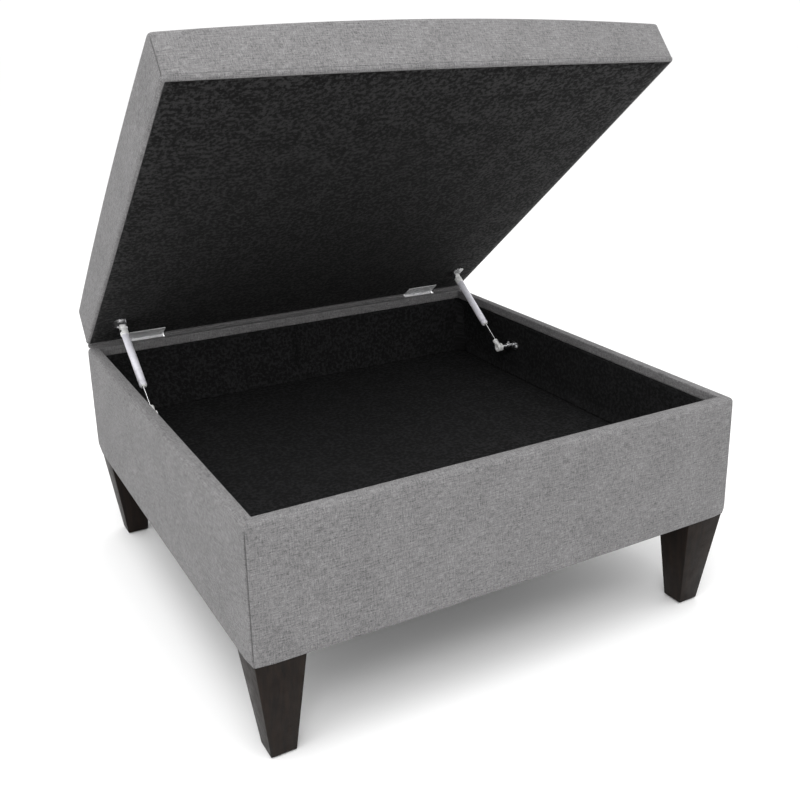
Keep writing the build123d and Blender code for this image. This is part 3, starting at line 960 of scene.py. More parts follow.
@dataclass
class BoxLinings:
    """Black cloth inside the box: round the walls, over the storage floor and under the box."""

    thickness: float = 0.0009
    behind: float = 0.0006
    foot_roll: float = 0.006
    back_slack: float = 0.022
    under_sag: float = 0.0035
    drape: float = 1.6
    face_size: float = 0.012
    leg_in: float = 0.045

    def walls(self) -> bpy.types.Object:
        """The lining of the walls, a little slack at the foot of the back one.

        Returns:
            The piece.
        """
        low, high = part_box("wall_lining")
        inset = OTTOMAN.half - high.x
        rows = [0.0, 0.02, 0.05, 0.09, 0.14, 0.2, 0.28, 0.38, 0.5, 0.62, 0.74, 0.86, 0.95, 1.0]
        tall = high.z - low.z

        def place(line: Station, row: int) -> Vector:
            """The slack point on a line at a row."""
            rise = rows[row]
            drape = (1 - rise) ** self.drape
            at_back = line.wall is Wall.BACK
            ease = 1.0 if at_back else smooth(line.from_corner, 0.0, 0.05)
            slack = self.back_slack * drape if at_back else self.foot_roll * bell(rise, 0.09)
            spot = Vector((line.along, 0.0, low.z + tall * rise))
            wave = 0.0012 * lumps(spot, 0.13, 21.0) * math.sin(math.pi * rise) * ease
            flat = line.base.copy()
            if line.wall in (Wall.LEFT, Wall.RIGHT) and flat.y > 0:
                flat.y = min(flat.y, OTTOMAN.half - inset - self.behind - self.back_slack * drape)
            slid = replace(line, base=flat)
            return slid.point(0.0, OTTOMAN.half, inset + self.behind + slack * ease + wave, spot.z)

        lines = stations(OTTOMAN.half, 0.0001, gaps=48, arc=2)
        bm = strip(lines, len(rows) - 1, place, [tall * rise for rise in rows])
        bmesh.ops.reverse_faces(bm, faces=bm.faces)
        piece = to_piece("wall_lining_cloth", bm, LINING_CLOTH, "base", "black_cloth", ["wall_lining"])
        thicken(piece, self.thickness, -1.0)
        return piece

    def floor(self) -> bpy.types.Object:
        """The cloth over the storage floor.

        Returns:
            The piece.
        """
        low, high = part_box("deck_lining")

        def height(x: float, y: float) -> float:
            """The cloth's height at a point."""
            edge = min(x - low.x, high.x - x, y - low.y, high.y - y)
            spot = Vector((x, y, 0.0))
            wave = 0.0007 * lumps(spot, 0.16, 31.0) + 0.0003 * lumps(spot, 0.05, 33.0)
            return high.z - 0.0004 + wave * smooth(edge, 0.0, 0.05) * 0.5

        bm = field_of_cloth(low[:2], high[:2], self.face_size, height)
        piece = to_piece("storage_floor_cloth", bm, LINING_CLOTH, "base", "black_cloth", ["deck_lining"])
        thicken(piece, self.thickness * 0.6, -1.0)
        return piece

    def underneath(self) -> bpy.types.Object:
        """The dust cloth under the box, sagging between its tacked edges.

        Returns:
            The piece.
        """
        low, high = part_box("bottom_dust_cover")
        leg_mid = OTTOMAN.half - self.leg_in

        def height(x: float, y: float) -> float:
            """The cloth's height at a point."""
            edge = min(x - low.x, high.x - x, y - low.y, high.y - y)
            off_leg = max(abs(abs(x) - leg_mid), abs(abs(y - OTTOMAN.middle_y) - leg_mid))
            loose = smooth(edge, 0.0, 0.12) * smooth(off_leg, 0.03, 0.09)
            wave = 0.0012 * lumps(Vector((x, y, 0)), 0.12, 41.0)
            return low.z - (self.under_sag * smooth(edge, 0.0, 0.35) + wave) * loose

        bm = field_of_cloth(low[:2], high[:2], self.face_size, height)
        bmesh.ops.reverse_faces(bm, faces=bm.faces)
        piece = to_piece("under_box_dust_cloth", bm, DUST_CLOTH, "base", "black_cloth", ["bottom_dust_cover"])
        thicken(piece, self.thickness, -1.0)
        return piece


@dataclass
class Leg:
    """A square leg of stained wood that tapers towards its foot."""

    node: str
    foot_side: float = 0.0416
    top_side: float = 0.0802
    foot_mid: float = 0.4078
    top_mid: float = 0.4122
    edge: float = 0.0014

    def build(self) -> bpy.types.Object:
        """Makes the leg.

        Returns:
            The piece.
        """
        low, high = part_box(self.node)
        side_x = 1 if low.x + high.x > 0 else -1
        side_y = 1 if (low.y + high.y) / 2 > OTTOMAN.middle_y else -1
        bm = slab((-0.5, -0.5, low.z), (0.5, 0.5, high.z))
        for vert in bm.verts:
            top = vert.co.z > (low.z + high.z) / 2
            width, mid = (self.top_side, self.top_mid) if top else (self.foot_side, self.foot_mid)
            vert.co.x = vert.co.x * width + side_x * mid
            vert.co.y = vert.co.y * width + side_y * mid + OTTOMAN.middle_y
        bevel(bm, bm.edges, self.edge, 3)
        hard_edges(bm, 50.0)
        return to_piece(f"{self.node}_wood", bm, LEG_WOOD, "base", "leg_wood", [self.node])


# --- The lid --------------------------------------------------------------------------------------


@dataclass
class LidCushion:
    """The crowned cushion: a boxed linen cover over foam on a board, drawn shut."""

    corner: float = 0.0080
    band: float = 0.0800
    crown: float = 0.0340
    strip: float = 0.0070
    bottom_roll: float = 0.0052
    top_roll: float = 0.0070
    swell: float = 0.0022
    pressure: float = 4.0
    frames: int = 20
    seam: float = 0.0018
    seam_width: float = 0.0012
    # Strengths of the painted shade in the corner seams and along the band's foot.
    seam_shade: float = 0.75
    foot_shade: float = 0.6
    lean: float = 0.0030
    lean_from: float = 0.36
    welt: float = 0.0008
    welt_groove: float = 0.0006
    centre_hole: float = 0.0002
    free_from: tuple = (0.018, 0.034)

    def edge_height(self, x: float, y: float) -> float:
        """The crown's height above the underside at a point about the middle.

        Args:
            x: Across the lid.
            y: Along the lid, from its middle.

        Returns:
            The height.
        """
        share = (x * x + y * y) / (2 * OTTOMAN.half**2)
        return self.band + self.crown * (1 - share)

    def rows(self) -> list[tuple[str, float, float]]:
        """The kinds of row from under the lid to the middle of its top.

        Returns:
            For each row its part, its inset and its share of the part.
        """
        middle = OTTOMAN.half - self.centre_hole
        found = [("base", middle, 0.0), ("base", self.strip + 0.002, 0.0)]
        for step, share in ((0.0, 0.0), (0.0010, 0.1), (0.0016, 0.5)):
            found.append(("strip", self.strip - step, share))
        for step in range(6):
            angle = math.pi / 2 * step / 5
            found.append(("roll", self.bottom_roll * (1 - math.sin(angle)), 1 - math.cos(angle)))
        found += [("band", 0.0, share) for share in (0.010, 0.024, 0.038)]
        found += [("band", 0.0, step / 12) for step in range(1, 12)]
        for step in range(6):
            angle = math.pi / 2 * step / 5
            found.append(("edge", self.top_roll * (1 - math.cos(angle)), math.sin(angle)))
        rings = 34
        for step in range(1, rings + 1):
            share = (step / rings) ** 1.15
            found.append(("top", self.top_roll + (middle - self.top_roll) * share, share))
        return found

    def place(self, line: Station, row: tuple[str, float, float]) -> Vector:
        """Where a row meets an upright line.

        Args:
            line: The upright line.
            row: The row's part, inset and share.

        Returns:
            The point, with the lid shut.
        """
        part, inset, share = row
        under = OTTOMAN.lid_under
        spot = line.point(self.corner, OTTOMAN.half, inset, 0.0)
        edge = line.point(self.corner, OTTOMAN.half, 0.0, 0.0)
        crest = under + self.edge_height(edge.x, edge.y - OTTOMAN.middle_y)
        if part == "base":
            spot.z = under + 0.0011
        elif part == "strip":
            spot.z = under
        elif part == "roll":
            spot.z = under + self.bottom_roll * share
        elif part == "band":
            low, high = under + self.bottom_roll, crest - self.top_roll
            spot.z = low + (high - low) * share
        elif part == "edge":
            spot.z = crest - self.top_roll * (1 - share)
        else:
            spot.z = under + self.edge_height(spot.x, spot.y - OTTOMAN.middle_y)
        return spot

    def shell(self) -> bmesh.types.BMesh:
        """The closed cover before it swells.

        Returns:
            The shape, drawn shut.
        """
        rows = self.rows()
        lines = stations(OTTOMAN.half, self.corner, gaps=52, arc=8)
        across, cloth = [], 0.0
        middle = min(lines, key=lambda line: (line.wall is not Wall.FRONT, abs(line.share)))
        points = [self.place(middle, row) for row in rows]
        for index, point in enumerate(points):
            cloth += (point - points[index - 1]).length if index else 0.0
            across.append(cloth)

        def stitched(line: Station, row: int) -> float:
            """The painted shade of the corner seams and of the faint line along the band's foot, and the
            painted shadow line where the turned-under linen meets the dust cloth.
            """
            part, _, share = rows[row]
            if part != "band":
                # Painted shadow: the turned-under linen rows next to the dust cloth are fully darkened.
                return 1.0 if part == "strip" and share < 0.3 else 0.0
            foot = self.foot_shade if row == first_band + 1 else 0.0
            return max(foot, self.seam_shade * bell(line.from_corner, 0.0009))

        first_band = next(index for index, row in enumerate(rows) if row[0] == "band")
        bm = strip(lines, len(rows) - 1, lambda line, row: self.place(line, rows[row]), across, stitched)
        bmesh.ops.recalc_face_normals(bm, faces=bm.faces)
        cloth_lines = bm.loops.layers.uv[WEAVE_UV]
        for face in bm.faces:
            if face.normal.z > 0.8:
                for loop in face.loops:
                    loop[cloth_lines].uv = loop.vert.co.xy
        return bm

    def inflate(self, piece: bpy.types.Object) -> None:
        """Lets the filling swell the cover by a cloth simulation whose result is kept in the mesh."""
        mesh = piece.data
        rest = [v.co.copy() for v in mesh.vertices]
        group = piece.vertex_groups.new(name="held")
        for index, spot in enumerate(rest):
            held = 1.0 - smooth(spot.z - OTTOMAN.lid_under, *self.free_from)
            group.add([index], held, "REPLACE")
        cloth = piece.modifiers.new("swell", "CLOTH")
        settings = cloth.settings
        settings.quality = 5
        settings.mass = 0.3
        settings.tension_stiffness = settings.compression_stiffness = 15
        settings.bending_stiffness = 1.2
        settings.use_pressure = True
        settings.uniform_pressure_force = self.pressure
        settings.effector_weights.gravity = 0
        settings.vertex_group_mass = "held"
        cloth.point_cache.frame_start, cloth.point_cache.frame_end = 1, self.frames
        scene = bpy.context.scene
        for step in range(1, self.frames + 1):
            scene.frame_set(step)
        swollen = piece.evaluated_get(bpy.context.evaluated_depsgraph_get()).to_mesh()
        ends = [v.co.copy() for v in swollen.vertices]
        piece.evaluated_get(bpy.context.evaluated_depsgraph_get()).to_mesh_clear()
        piece.modifiers.remove(cloth)
        scene.frame_set(1)
        outward = [vert.normal.copy() for vert in mesh.vertices]
        pushes = [max(0.0, (end - start).dot(out)) for start, end, out in zip(rest, ends, outward)]
        for vert, start, out, push in zip(mesh.vertices, rest, outward, pushes):
            vert.co = start + out * min(self.swell, push)
        LOG.info("%s swelled by up to %.1f mm", piece.name, 1000 * max(pushes))

    def settle(self, spot: Vector) -> Vector:
        """Draws the seams in and makes the faces a little uneven.

        Args:
            spot: A point of the swollen cover, with the lid shut.

        Returns:
            The finished point.
        """
        half, reach = OTTOMAN.half, OTTOMAN.half - self.corner
        x, y = spot.x, spot.y - OTTOMAN.middle_y
        rise = spot.z - OTTOMAN.lid_under
        crest = self.edge_height(max(-half, min(half, x)), max(-half, min(half, y)))
        off_flat = Vector((x - max(-reach, min(reach, x)), y - max(-reach, min(reach, y))))
        moved_by = Vector((0.0, 0.0, 0.0))
        if off_flat.length > 0.5 * self.corner and min(abs(x), abs(y)) > reach - 0.002:
            on_band = smooth(rise, 0.006, 0.012) * (1 - smooth(rise, crest - 0.012, crest - 0.006))
            off_diagonal = abs(abs(x) - abs(y)) / math.sqrt(2)
            depth = self.seam * bell(off_diagonal, self.seam_width) * on_band
            moved_by -= Vector((x, y, 0.0)).normalized() * depth
        beside = smooth(abs(x), self.lean_from, half) * (1 - min(1.0, abs(y) / half) ** 2)
        moved_by.z += OTTOMAN.lid_bow(x, y) * (1 - smooth(rise, 0.0, 0.09))
        moved_by.x += self.lean * beside * smooth(rise, -0.01, 0.02)
        welt = self.welt * bell(rise - 0.0058, 0.0010) - self.welt_groove * bell(rise - 0.0070, 0.0010)
        if abs(x) > abs(y):
            moved_by.x += welt * math.copysign(1.0, x)
        else:
            moved_by.y += welt * math.copysign(1.0, y)
        return spot + moved_by

    def build(self) -> bpy.types.Object:
        """Makes the cushion.

        Returns:
            The piece.
        """
        hidden = ["lid_top_cover", "lid_band_cover", "lid_foam"]
        piece = to_piece("lid_upholstery", self.shell(), LINEN, "lid", "upholstery_fabric", hidden)
        self.inflate(piece)
        for vert in piece.data.vertices:
            vert.co = self.settle(vert.co)
        piece.data.transform(OTTOMAN.opening)
        piece.data.update()
        soften(piece)
        return piece


@dataclass
class LidBoard:
    """The lid's board, whose front edge bows a little with the cover."""

    ease: float = 0.0045
    thickness: float = 0.0150
    above: float = 0.0032
    edge: float = 0.0012
    cuts: int = 24

    def build(self) -> bpy.types.Object:
        """Makes the board.

        Returns:
            The piece.
        """
        bottom = OTTOMAN.rim_top + self.above
        reach = OTTOMAN.half - self.ease
        low = Vector((-reach, OTTOMAN.middle_y - reach, bottom))
        bm = slab(low, Vector((reach, OTTOMAN.middle_y + reach, bottom + self.thickness)))
        bevel(bm, bm.edges, self.edge, 2)
        long_edges = [edge for edge in bm.edges if edge.calc_length() > reach]
        bmesh.ops.subdivide_edges(bm, edges=long_edges, cuts=self.cuts, use_grid_fill=True)
        for vert in bm.verts:
            vert.co.z += OTTOMAN.lid_bow(vert.co.x, vert.co.y - OTTOMAN.middle_y)
        hard_edges(bm, 50.0)
        moved(bm, OTTOMAN.opening)
        return to_piece("lid_board_wood", bm, BOARD_WOOD, "lid", "board_wood", ["lid_board"])


@dataclass
class LidDustCover:
    """Black pressed-fibre cloth stretched under the lid, with soft drag wrinkles."""

    inset: float = 0.0070
    thickness: float = 0.0008
    droop: float = 0.0018
    least: float = 0.0002
    ridge_gap: float = 0.034
    ridge: float = 0.0016
    face_size: float = 0.009
    corners: tuple = ((-1, -1, 1.0), (1, -1, 0.5), (1, 1, 0.35), (-1, 1, 0.35))
    bracket: tuple = (0.398, 0.3632)
    hinge_half: float = 0.040

    def hang(self, x: float, y: float) -> float:
        """How far the cloth hangs below the lid's underside.

        Args:
            x: Across the lid.
            y: Along the lid, from its middle to the hinges.

        Returns:
            The distance down.
        """
        reach = OTTOMAN.half - self.inset
        edge = reach - max(abs(x), abs(y))
        spot = Vector((x, y, 0.0))
        wave = 0.0007 * lumps(spot, 0.15, 51.0) + 0.0004 * lumps(spot, 0.06, 53.0)
        for corner_x, corner_y, strength in self.corners:
            to_corner = Vector((corner_x * reach - x, corner_y * reach - y))
            along = (to_corner.x * corner_x + to_corner.y * corner_y) / math.sqrt(2)
            aside = (to_corner.x * corner_x - to_corner.y * corner_y) / math.sqrt(2)
            bent = 2.2 * lumps(Vector((along, aside, corner_x)), 0.1, 5.0)
            ridge = math.sin(math.tau * aside / self.ridge_gap + bent)
            fade = bell(along - 0.10, 0.085) * bell(aside, 0.07)
            wave += self.ridge * strength * ridge * fade
        return max(self.least, self.droop + wave) * smooth(edge, 0.0, 0.03)

    def build(self) -> bpy.types.Object:
        """Makes the cloth.

        Returns:
            The piece.
        """
        reach = OTTOMAN.half - self.inset
        middle, level = OTTOMAN.middle_y, OTTOMAN.lid_under

        def height(x: float, y: float) -> float:
            """The cloth's height at a point, with the lid shut."""
            beside = abs(abs(x) - OTTOMAN.hinge_x) - self.hinge_half
            hinge = smooth(max(beside, 0.415 - (y - middle)), 0.0, 0.03)
            off_bracket = math.hypot(abs(x) - self.bracket[0], y - middle - self.bracket[1])
            strut = smooth(off_bracket, 0.026, 0.06)
            return level + OTTOMAN.lid_bow(x, y - middle) - self.hang(x, y - middle) * hinge * strut

        bm = field_of_cloth((-reach, middle - reach), (reach, middle + reach), self.face_size, height)
        bmesh.ops.reverse_faces(bm, faces=bm.faces)
        moved(bm, OTTOMAN.opening)
        piece = to_piece("lid_dust_cloth", bm, DUST_CLOTH, "lid", "black_cloth", ["lid_dust_cover"])
        thicken(piece, self.thickness, -1.0)
        return piece


# --- Hardware -------------------------------------------------------------------------------------


@dataclass
class CreaseStrip:
    """Linen that closes the gap behind the lid, in three lengths between and beside the hinges."""

    thickness: float = 0.0008
    reach: float = 0.4545
    hinge_clear: float = 0.0395
    path: tuple = (
        (-0.0122, 0.0023), (-0.0077, 0.0024), (-0.0047, 0.0028), (-0.0026, 0.0038),
        (-0.0019, 0.0051), (-0.0026, 0.0066), (-0.0043, 0.0080), (-0.0062, 0.0093),
    )

    def build(self) -> bpy.types.Object:
        """Makes the strip, which bends across the lid's hinge.

        Returns:
            The piece.
        """
        inner, outer = OTTOMAN.hinge_x - self.hinge_clear, OTTOMAN.hinge_x + self.hinge_clear
        steps = [math.dist(first, second) for first, second in zip(self.path, self.path[1:])]
        lengths = []
        for low, high in ((-self.reach, -outer), (-inner, inner), (outer, self.reach)):
            bm = bmesh.new()
            columns, rows = max(6, round((high - low) / 0.008)), len(self.path) - 1
            bmesh.ops.create_grid(bm, x_segments=columns, y_segments=rows, size=0.5)
            cloth = bm.loops.layers.uv.new(WEAVE_UV)
            at = {v: ((v.co.x + 0.5) * (high - low) + low, round((v.co.y + 0.5) * rows)) for v in bm.verts}
            for face in bm.faces:
                for loop in face.loops:
                    x, row = at[loop.vert]
                    loop[cloth].uv = (x, sum(steps[:row]))
            for vert, (x, row) in at.items():
                behind, above = self.path[row]
                soft = 0.0002 * lumps(Vector((x, row, 0.0)), 0.05, 61.0) if 1 < row < rows else 0.0
                vert.co = (x, OTTOMAN.axis.y + behind + soft, OTTOMAN.axis.z + above)
            lengths.append(bm)
        bm = joined(lengths)
        piece = to_piece("crease_linen_strip", bm, LINEN, None, "upholstery_fabric")
        thicken(piece, self.thickness, 0.0)
        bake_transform(piece)
        return piece


def sink(bm: bmesh.types.BMesh, faces: Sequence[bmesh.types.BMFace], by: Vector) -> None:
    """Sinks faces straight in, with walls round them."""
    made = bmesh.ops.extrude_face_region(bm, geom=list(faces))
    verts = [part for part in made["geom"] if isinstance(part, bmesh.types.BMVert)]
    bmesh.ops.translate(bm, vec=by, verts=verts)
    bmesh.ops.delete(bm, geom=list(faces), context="FACES_ONLY")


def screw(
    radius: float, dome: float, flare: float = 0.0, shank: float = 0.0018, length: float = 0.0125
) -> bmesh.types.BMesh:
    """A cross-recessed screw along Z, its head's foot at 0 and its shank below.

    Args:
        radius: The head's radius.
        dome: The head's height above its foot.
        flare: The depth of the head's cone below its foot, for a countersunk head.
        shank: The shank's radius.
        length: The shank's length.

    Returns:
        The shape.
    """
    angles = (0.0, 0.2, 0.42, 0.66, 0.95, 1.25)
    crest = [(radius * math.sin(angle), dome * math.cos(angle)) for angle in angles]
    rim = [(radius, 0.25 * dome if not flare else -0.0001)]
    root = [(radius * 0.99, 0.0)] if not flare else []
    tail = [(shank, -flare), (shank, -length + 0.003), (0.0, -length)]
    bm = turned([*crest, *rim, *root, *tail], 24)
    arms = []
    for face in bm.faces:
        middle = face.calc_center_median()
        off = math.hypot(middle.x, middle.y)
        toward = abs(math.sin(2 * math.atan2(middle.y, middle.x)))
        if middle.z > 0.3 * dome and (off < 0.12 * radius or (off < 0.55 * radius and toward < 0.55)):
            arms.append(face)
    sink(bm, arms, Vector((0, 0, -max(0.0009, 0.6 * dome))))
    bmesh.ops.recalc_face_normals(bm, faces=bm.faces)
    hard_edges(bm, 40.0)
    return bm


@dataclass
class HingeSet:
    """The screws and pins of the two butt hinges, whose leaves are the frame's own."""

    pitch: float = 0.0270
    screw_in: float = 0.0220
    leaf: float = 0.0018
    head: float = 0.0042
    length: float = 0.0760
    knuckle: float = 0.0040
    slot: float = 0.0003

    def places(self) -> list[float]:
        """Where the screws stand across the ottoman."""
        return [side.value * OTTOMAN.hinge_x + step * self.pitch for side in Side for step in (-1, 0, 1)]

    def build(self) -> None:
        """Makes the screws of both leaves and the pins."""
        axis = OTTOMAN.axis
        lid, box = [], []
        for number, x in enumerate(self.places()):
            spin = Matrix.Rotation(0.5 * number, 4, "Z")
            head = screw(self.head, self.slot, self.leaf)
            under = Vector((x, axis.y - self.knuckle - self.screw_in, axis.z + self.knuckle - self.leaf))
            turn = Matrix.Rotation(math.pi, 4, "X") @ spin
            lid.append(moved(head, OTTOMAN.opening @ Matrix.Translation(under) @ turn))
            head = screw(self.head, self.slot, self.leaf)
            behind = Vector((x, axis.y - self.knuckle + self.leaf, axis.z - self.knuckle - self.screw_in))
            turn = Matrix.Rotation(-math.pi / 2, 4, "X") @ spin
            box.append(moved(head, Matrix.Translation(behind) @ turn))
        to_piece("hinge_lid_screws_steel", joined(lid), ZINC, "lid", "zinc_steel", ["hinge_lid_screws"])
        to_piece("hinge_box_screws_steel", joined(box), ZINC, "base", "zinc_steel", ["hinge_box_screws"])
        for side in Side:
            half = self.length / 2
            ends = [(0.0, -half), (0.0012, -half), (0.0019, -half + 0.0007)]
            bm = turned([*ends, *((radius, -height) for radius, height in reversed(ends))], 20)
            hard_edges(bm)
            middle = Vector((side.value * OTTOMAN.hinge_x, axis.y, axis.z))
            moved(bm, Matrix.Translation(middle) @ Matrix.Rotation(math.pi / 2, 4, "Y"))
            node = f"hinge_{side.word}_pin"
            to_piece(f"{node}_steel", bm, ZINC, "base", "zinc_steel", [node])


@dataclass
class GasStrut:
    """One gas strut: socket and collar, tube, guide, piston, rod and rod socket, all turned."""

    side: Side
    tube_r: float = 0.0075
    start: float = 0.0200
    end: float = 0.1515
    rod_r: float = 0.0030
    piston_at: float = 0.0750
    length: float = 0.22406

    @property
    def place(self) -> Matrix:
        """Stands a shape drawn along +Z from the lid's ball on the strut."""
        pivot = joint(f"strut_{self.side.word}_lid_pivot")
        slide = joint(f"strut_{self.side.word}_slide")
        start = Vector(pivot["pos_m"])
        along = Vector(slide["axis"])
        if along.z > 0:
            along = -along
        return lengthwise(start, start + along)

    def tube(self) -> bmesh.types.BMesh:
        """The painted tube, with its rolled-in end and a crimp behind it."""
        r, a, b = self.tube_r, self.start, self.end
        wall = 0.0010
        profile = [(0, a), (r - 0.0016, a), (r - 0.0005, a + 0.0005), (r, a + 0.0018), (r, b - 0.0125)]
        profile += [(r - 0.0004, b - 0.0118), (r - 0.0005, b - 0.0105), (r - 0.0004, b - 0.0092)]
        profile.append((r, b - 0.0085))
        profile += [(r, b - 0.0018), (r - 0.0003, b - 0.0007), (r - 0.0008, b), (r - wall, b - 0.0002)]
        profile += [(r - wall, a + 0.0020), (0, a + 0.0020)]
        return turned(profile, 40)

    def guide(self) -> bmesh.types.BMesh:
        """The guide in the tube's end and its nub round the rod."""
        b, bore, plug = self.end, self.rod_r + 0.00006, self.tube_r - 0.00105
        profile = [(bore, b - 0.0100), (plug, b - 0.0100), (plug, b - 0.0003), (plug - 0.0003, b)]
        profile += [(0.0055, b), (0.0055, b + 0.0022), (0.0050, b + 0.0028), (0.0045, b + 0.0030)]
        profile += [(0.0036, b + 0.0030), (bore, b + 0.0025), (bore, b - 0.0100)]
        return turned(profile, 32)

    def piston(self) -> bmesh.types.BMesh:
        """The piston, with the groove for its seal."""
        a = self.piston_at
        profile = [(0, a - 0.0080), (0.0058, a - 0.0080), (0.0064, a - 0.0074), (0.0064, a - 0.0055)]
        profile += [(0.0056, a - 0.0053), (0.0056, a - 0.0027), (0.0064, a - 0.0025), (0.0064, a - 0.0006)]
        profile += [(0.0058, a), (0, a)]
        return turned(profile, 32)

    def rod(self) -> bmesh.types.BMesh:
        """The polished rod, with its ends chamfered."""
        a, b, r = self.piston_at, self.length - 0.0220, self.rod_r
        profile = [(0, a), (r - 0.0004, a), (r, a + 0.0004), (r, b - 0.0004), (r - 0.0004, b), (0, b)]
        return turned(profile, 28)

    def collar(self) -> bmesh.types.BMesh:
        """The slotted collar on the tube and the cup that clips on the lid's ball."""
        r, a, b = 0.0085, 0.0054, 0.0200
        profile = [(0, a), (r - 0.0012, a), (r - 0.0003, a + 0.0004), (r, a + 0.0012), (r, a + 0.0040)]
        profile += [(r, b - 0.0060), (r - 0.0005, b - 0.0054), (r - 0.0005, b - 0.0046), (r, b - 0.0040)]
        profile += [(r, b - 0.0010), (r - 0.0006, b), (0, b)]
        sleeve = turned(profile, 36)
        half, bowl, mouth = 0.0055, 0.00515, 0.0044
        profile = [(0, half), (0.0066, half), (0.0075, half - 0.0004), (0.0080, half - 0.0013)]
        profile += [(0.0080, -half + 0.0013), (0.0075, -half + 0.0004), (0.0066, -half)]
        profile += [(mouth + 0.0003, -half), (mouth, -half + 0.0004)]
        for step in range(6):
            angle = math.radians(-31 + step * 24)
            profile.append((bowl * math.cos(angle), bowl * math.sin(angle)))
        profile.append((0, bowl))
        cup = turned(profile, 32)
        moved(cup, Matrix.Rotation(self.side.value * math.pi / 2, 4, "Y"))
        return joined([sleeve, cup])

    def rod_socket(self) -> bmesh.types.BMesh:
        """The neck on the rod and the grooved ring that meets the wall's stud."""
        far, half, r, bore = self.length, 0.0065, 0.0090, 0.0045
        steps = (
            (0.0, 0.0220), (0.0048, 0.0220), (0.0055, 0.0213), (0.0055, 0.0150), (0.0050, 0.0145),
            (0.0050, 0.0128), (0.0055, 0.0123), (0.0055, 0.0066), (0.0, 0.0066),
        )
        neck = turned([(radius, far - back) for radius, back in steps], 28)
        groove = 0.0011
        lip = [(bore, half - 0.0004), (bore + 0.0004, half), (r - 0.0010, half), (r - 0.0002, half - 0.0003)]
        lip += [(r, half - 0.0010), (r, groove), (r - 0.0026, groove)]
        outline = [*((radius, -height) for radius, height in lip), *reversed(lip), (bore, -half + 0.0004)]
        ring = turned(outline, 36)
        moved(ring, Matrix.Translation((0, 0, far)) @ Matrix.Rotation(math.pi / 2, 4, "Y"))
        return joined([neck, ring])

    def clip(self) -> bmesh.types.BMesh:
        """A dark plastic patch on the collar: painted shadow that stands for the shade inside the collar's
        slot.
        """
        bm = slab((0.0064, -0.0030, 0.0078), (0.0089, 0.0030, 0.0128), 0.0006)
        turn = Matrix.Rotation(math.pi / 2 - self.side.value * (math.pi / 2 - 0.45), 4, "Z")
        return moved(bm, turn)

    def build(self) -> None:
        """Makes the strut's pieces."""
        name = f"strut_{self.side.word}"
        cylinder, plunger = f"{name}_tube", f"{name}_rod"
        wanted = (
            ("tube", self.tube(), TUBE_PAINT, cylinder, "strut_paint"),
            ("lid_socket", self.collar(), COLLAR, cylinder, "collar_metal"),
            ("guide", self.guide(), COLLAR, cylinder, "collar_metal"),
            ("piston", self.piston(), BLACK_PLASTIC, plunger, "dark_plastic"),
            ("rod", self.rod(), CHROME, plunger, "rod_chrome"),
            ("rod_socket", self.rod_socket(), COLLAR, plunger, "collar_metal"),
        )
        for part, bm, finish, body, slot in wanted:
            hard_edges(bm, 32.0)
            moved(bm, self.place)
            to_piece(f"{name}_{part}_turned", bm, finish, body, slot, [f"{name}_{part}"])
        # Painted shadow: a dark patch on the collar in place of the shade in its slot.
        clip = moved(self.clip(), self.place)
        hard_edges(clip, 50.0)
        to_piece(f"{name}_collar_clip", clip, BLACK_PLASTIC, cylinder, "dark_plastic")


@dataclass
class BracketScrews:
    """The pan-head screws of the strut brackets, whose plates are the frame's own."""

    head: float = 0.0036
    dome: float = 0.0021
    foot_x: float = 0.4020
    ball_behind: float = 0.0980
    foot_reach: float = 0.0155
    wall_x: float = 0.4342
    stud_behind: float = 0.2660
    stud_drop: float = 0.0750
    wall_reach: float = 0.0160
    plate_top: float = 0.0020

    def build(self) -> None:
        """Makes the screws under the lid and on the side walls."""
        lid, wall = [], []
        axis = OTTOMAN.axis
        for number, (side, step) in enumerate((side, step) for side in Side for step in (-1, 1)):
            spin = Matrix.Rotation(0.7 * number + 0.3, 4, "Z")
            y = axis.y - self.ball_behind + step * self.foot_reach
            under = Vector((side.value * self.foot_x, y, axis.z + self.plate_top))
            turn = Matrix.Rotation(math.pi, 4, "X") @ spin
            lid.append(moved(screw(self.head, self.dome), OTTOMAN.opening @ Matrix.Translation(under) @ turn))
            y = axis.y - self.stud_behind + step * self.wall_reach
            inside = Vector((side.value * self.wall_x, y, OTTOMAN.rim_top - self.stud_drop))
            turn = Matrix.Rotation(-side.value * math.pi / 2, 4, "Y") @ spin
            wall.append(moved(screw(self.head, self.dome), Matrix.Translation(inside) @ turn))
        for node, screws, body in (("lid_bracket_screws", lid, "lid"), ("wall_bracket_screws", wall, "base")):
            to_piece(f"{node}_steel", joined(screws), ZINC, body, "zinc_steel", [node])


def dress_nodes() -> None:
    """Gives the frame's own nodes that stay their finishes and softened edges."""
    wood = ("_panel", "deck_board", "deck_cleats", "corner_blocks")
    for name, node in frame["nodes"].items():
        if node.hide_render:
            continue
        if name.endswith(wood):
            finish = BOARD_WOOD
        elif name == "leg_glides":
            finish = BLACK_PLASTIC
        elif "_bracket_" in name:
            finish = BRACKET_STEEL
        else:
            finish = ZINC
        node.data.materials.clear()
        node.data.materials.append(finish.material())
        if finish in (ZINC, BRACKET_STEEL):
            weld = node.modifiers.new("weld", "WELD")
            weld.merge_threshold = MERGE
            ease = node.modifiers.new("eased_edges", "BEVEL")
            ease.width, ease.segments = 0.00025, 2
            ease.limit_method, ease.angle_limit = "ANGLE", math.radians(35)


# --- The studio -----------------------------------------------------------------------------------


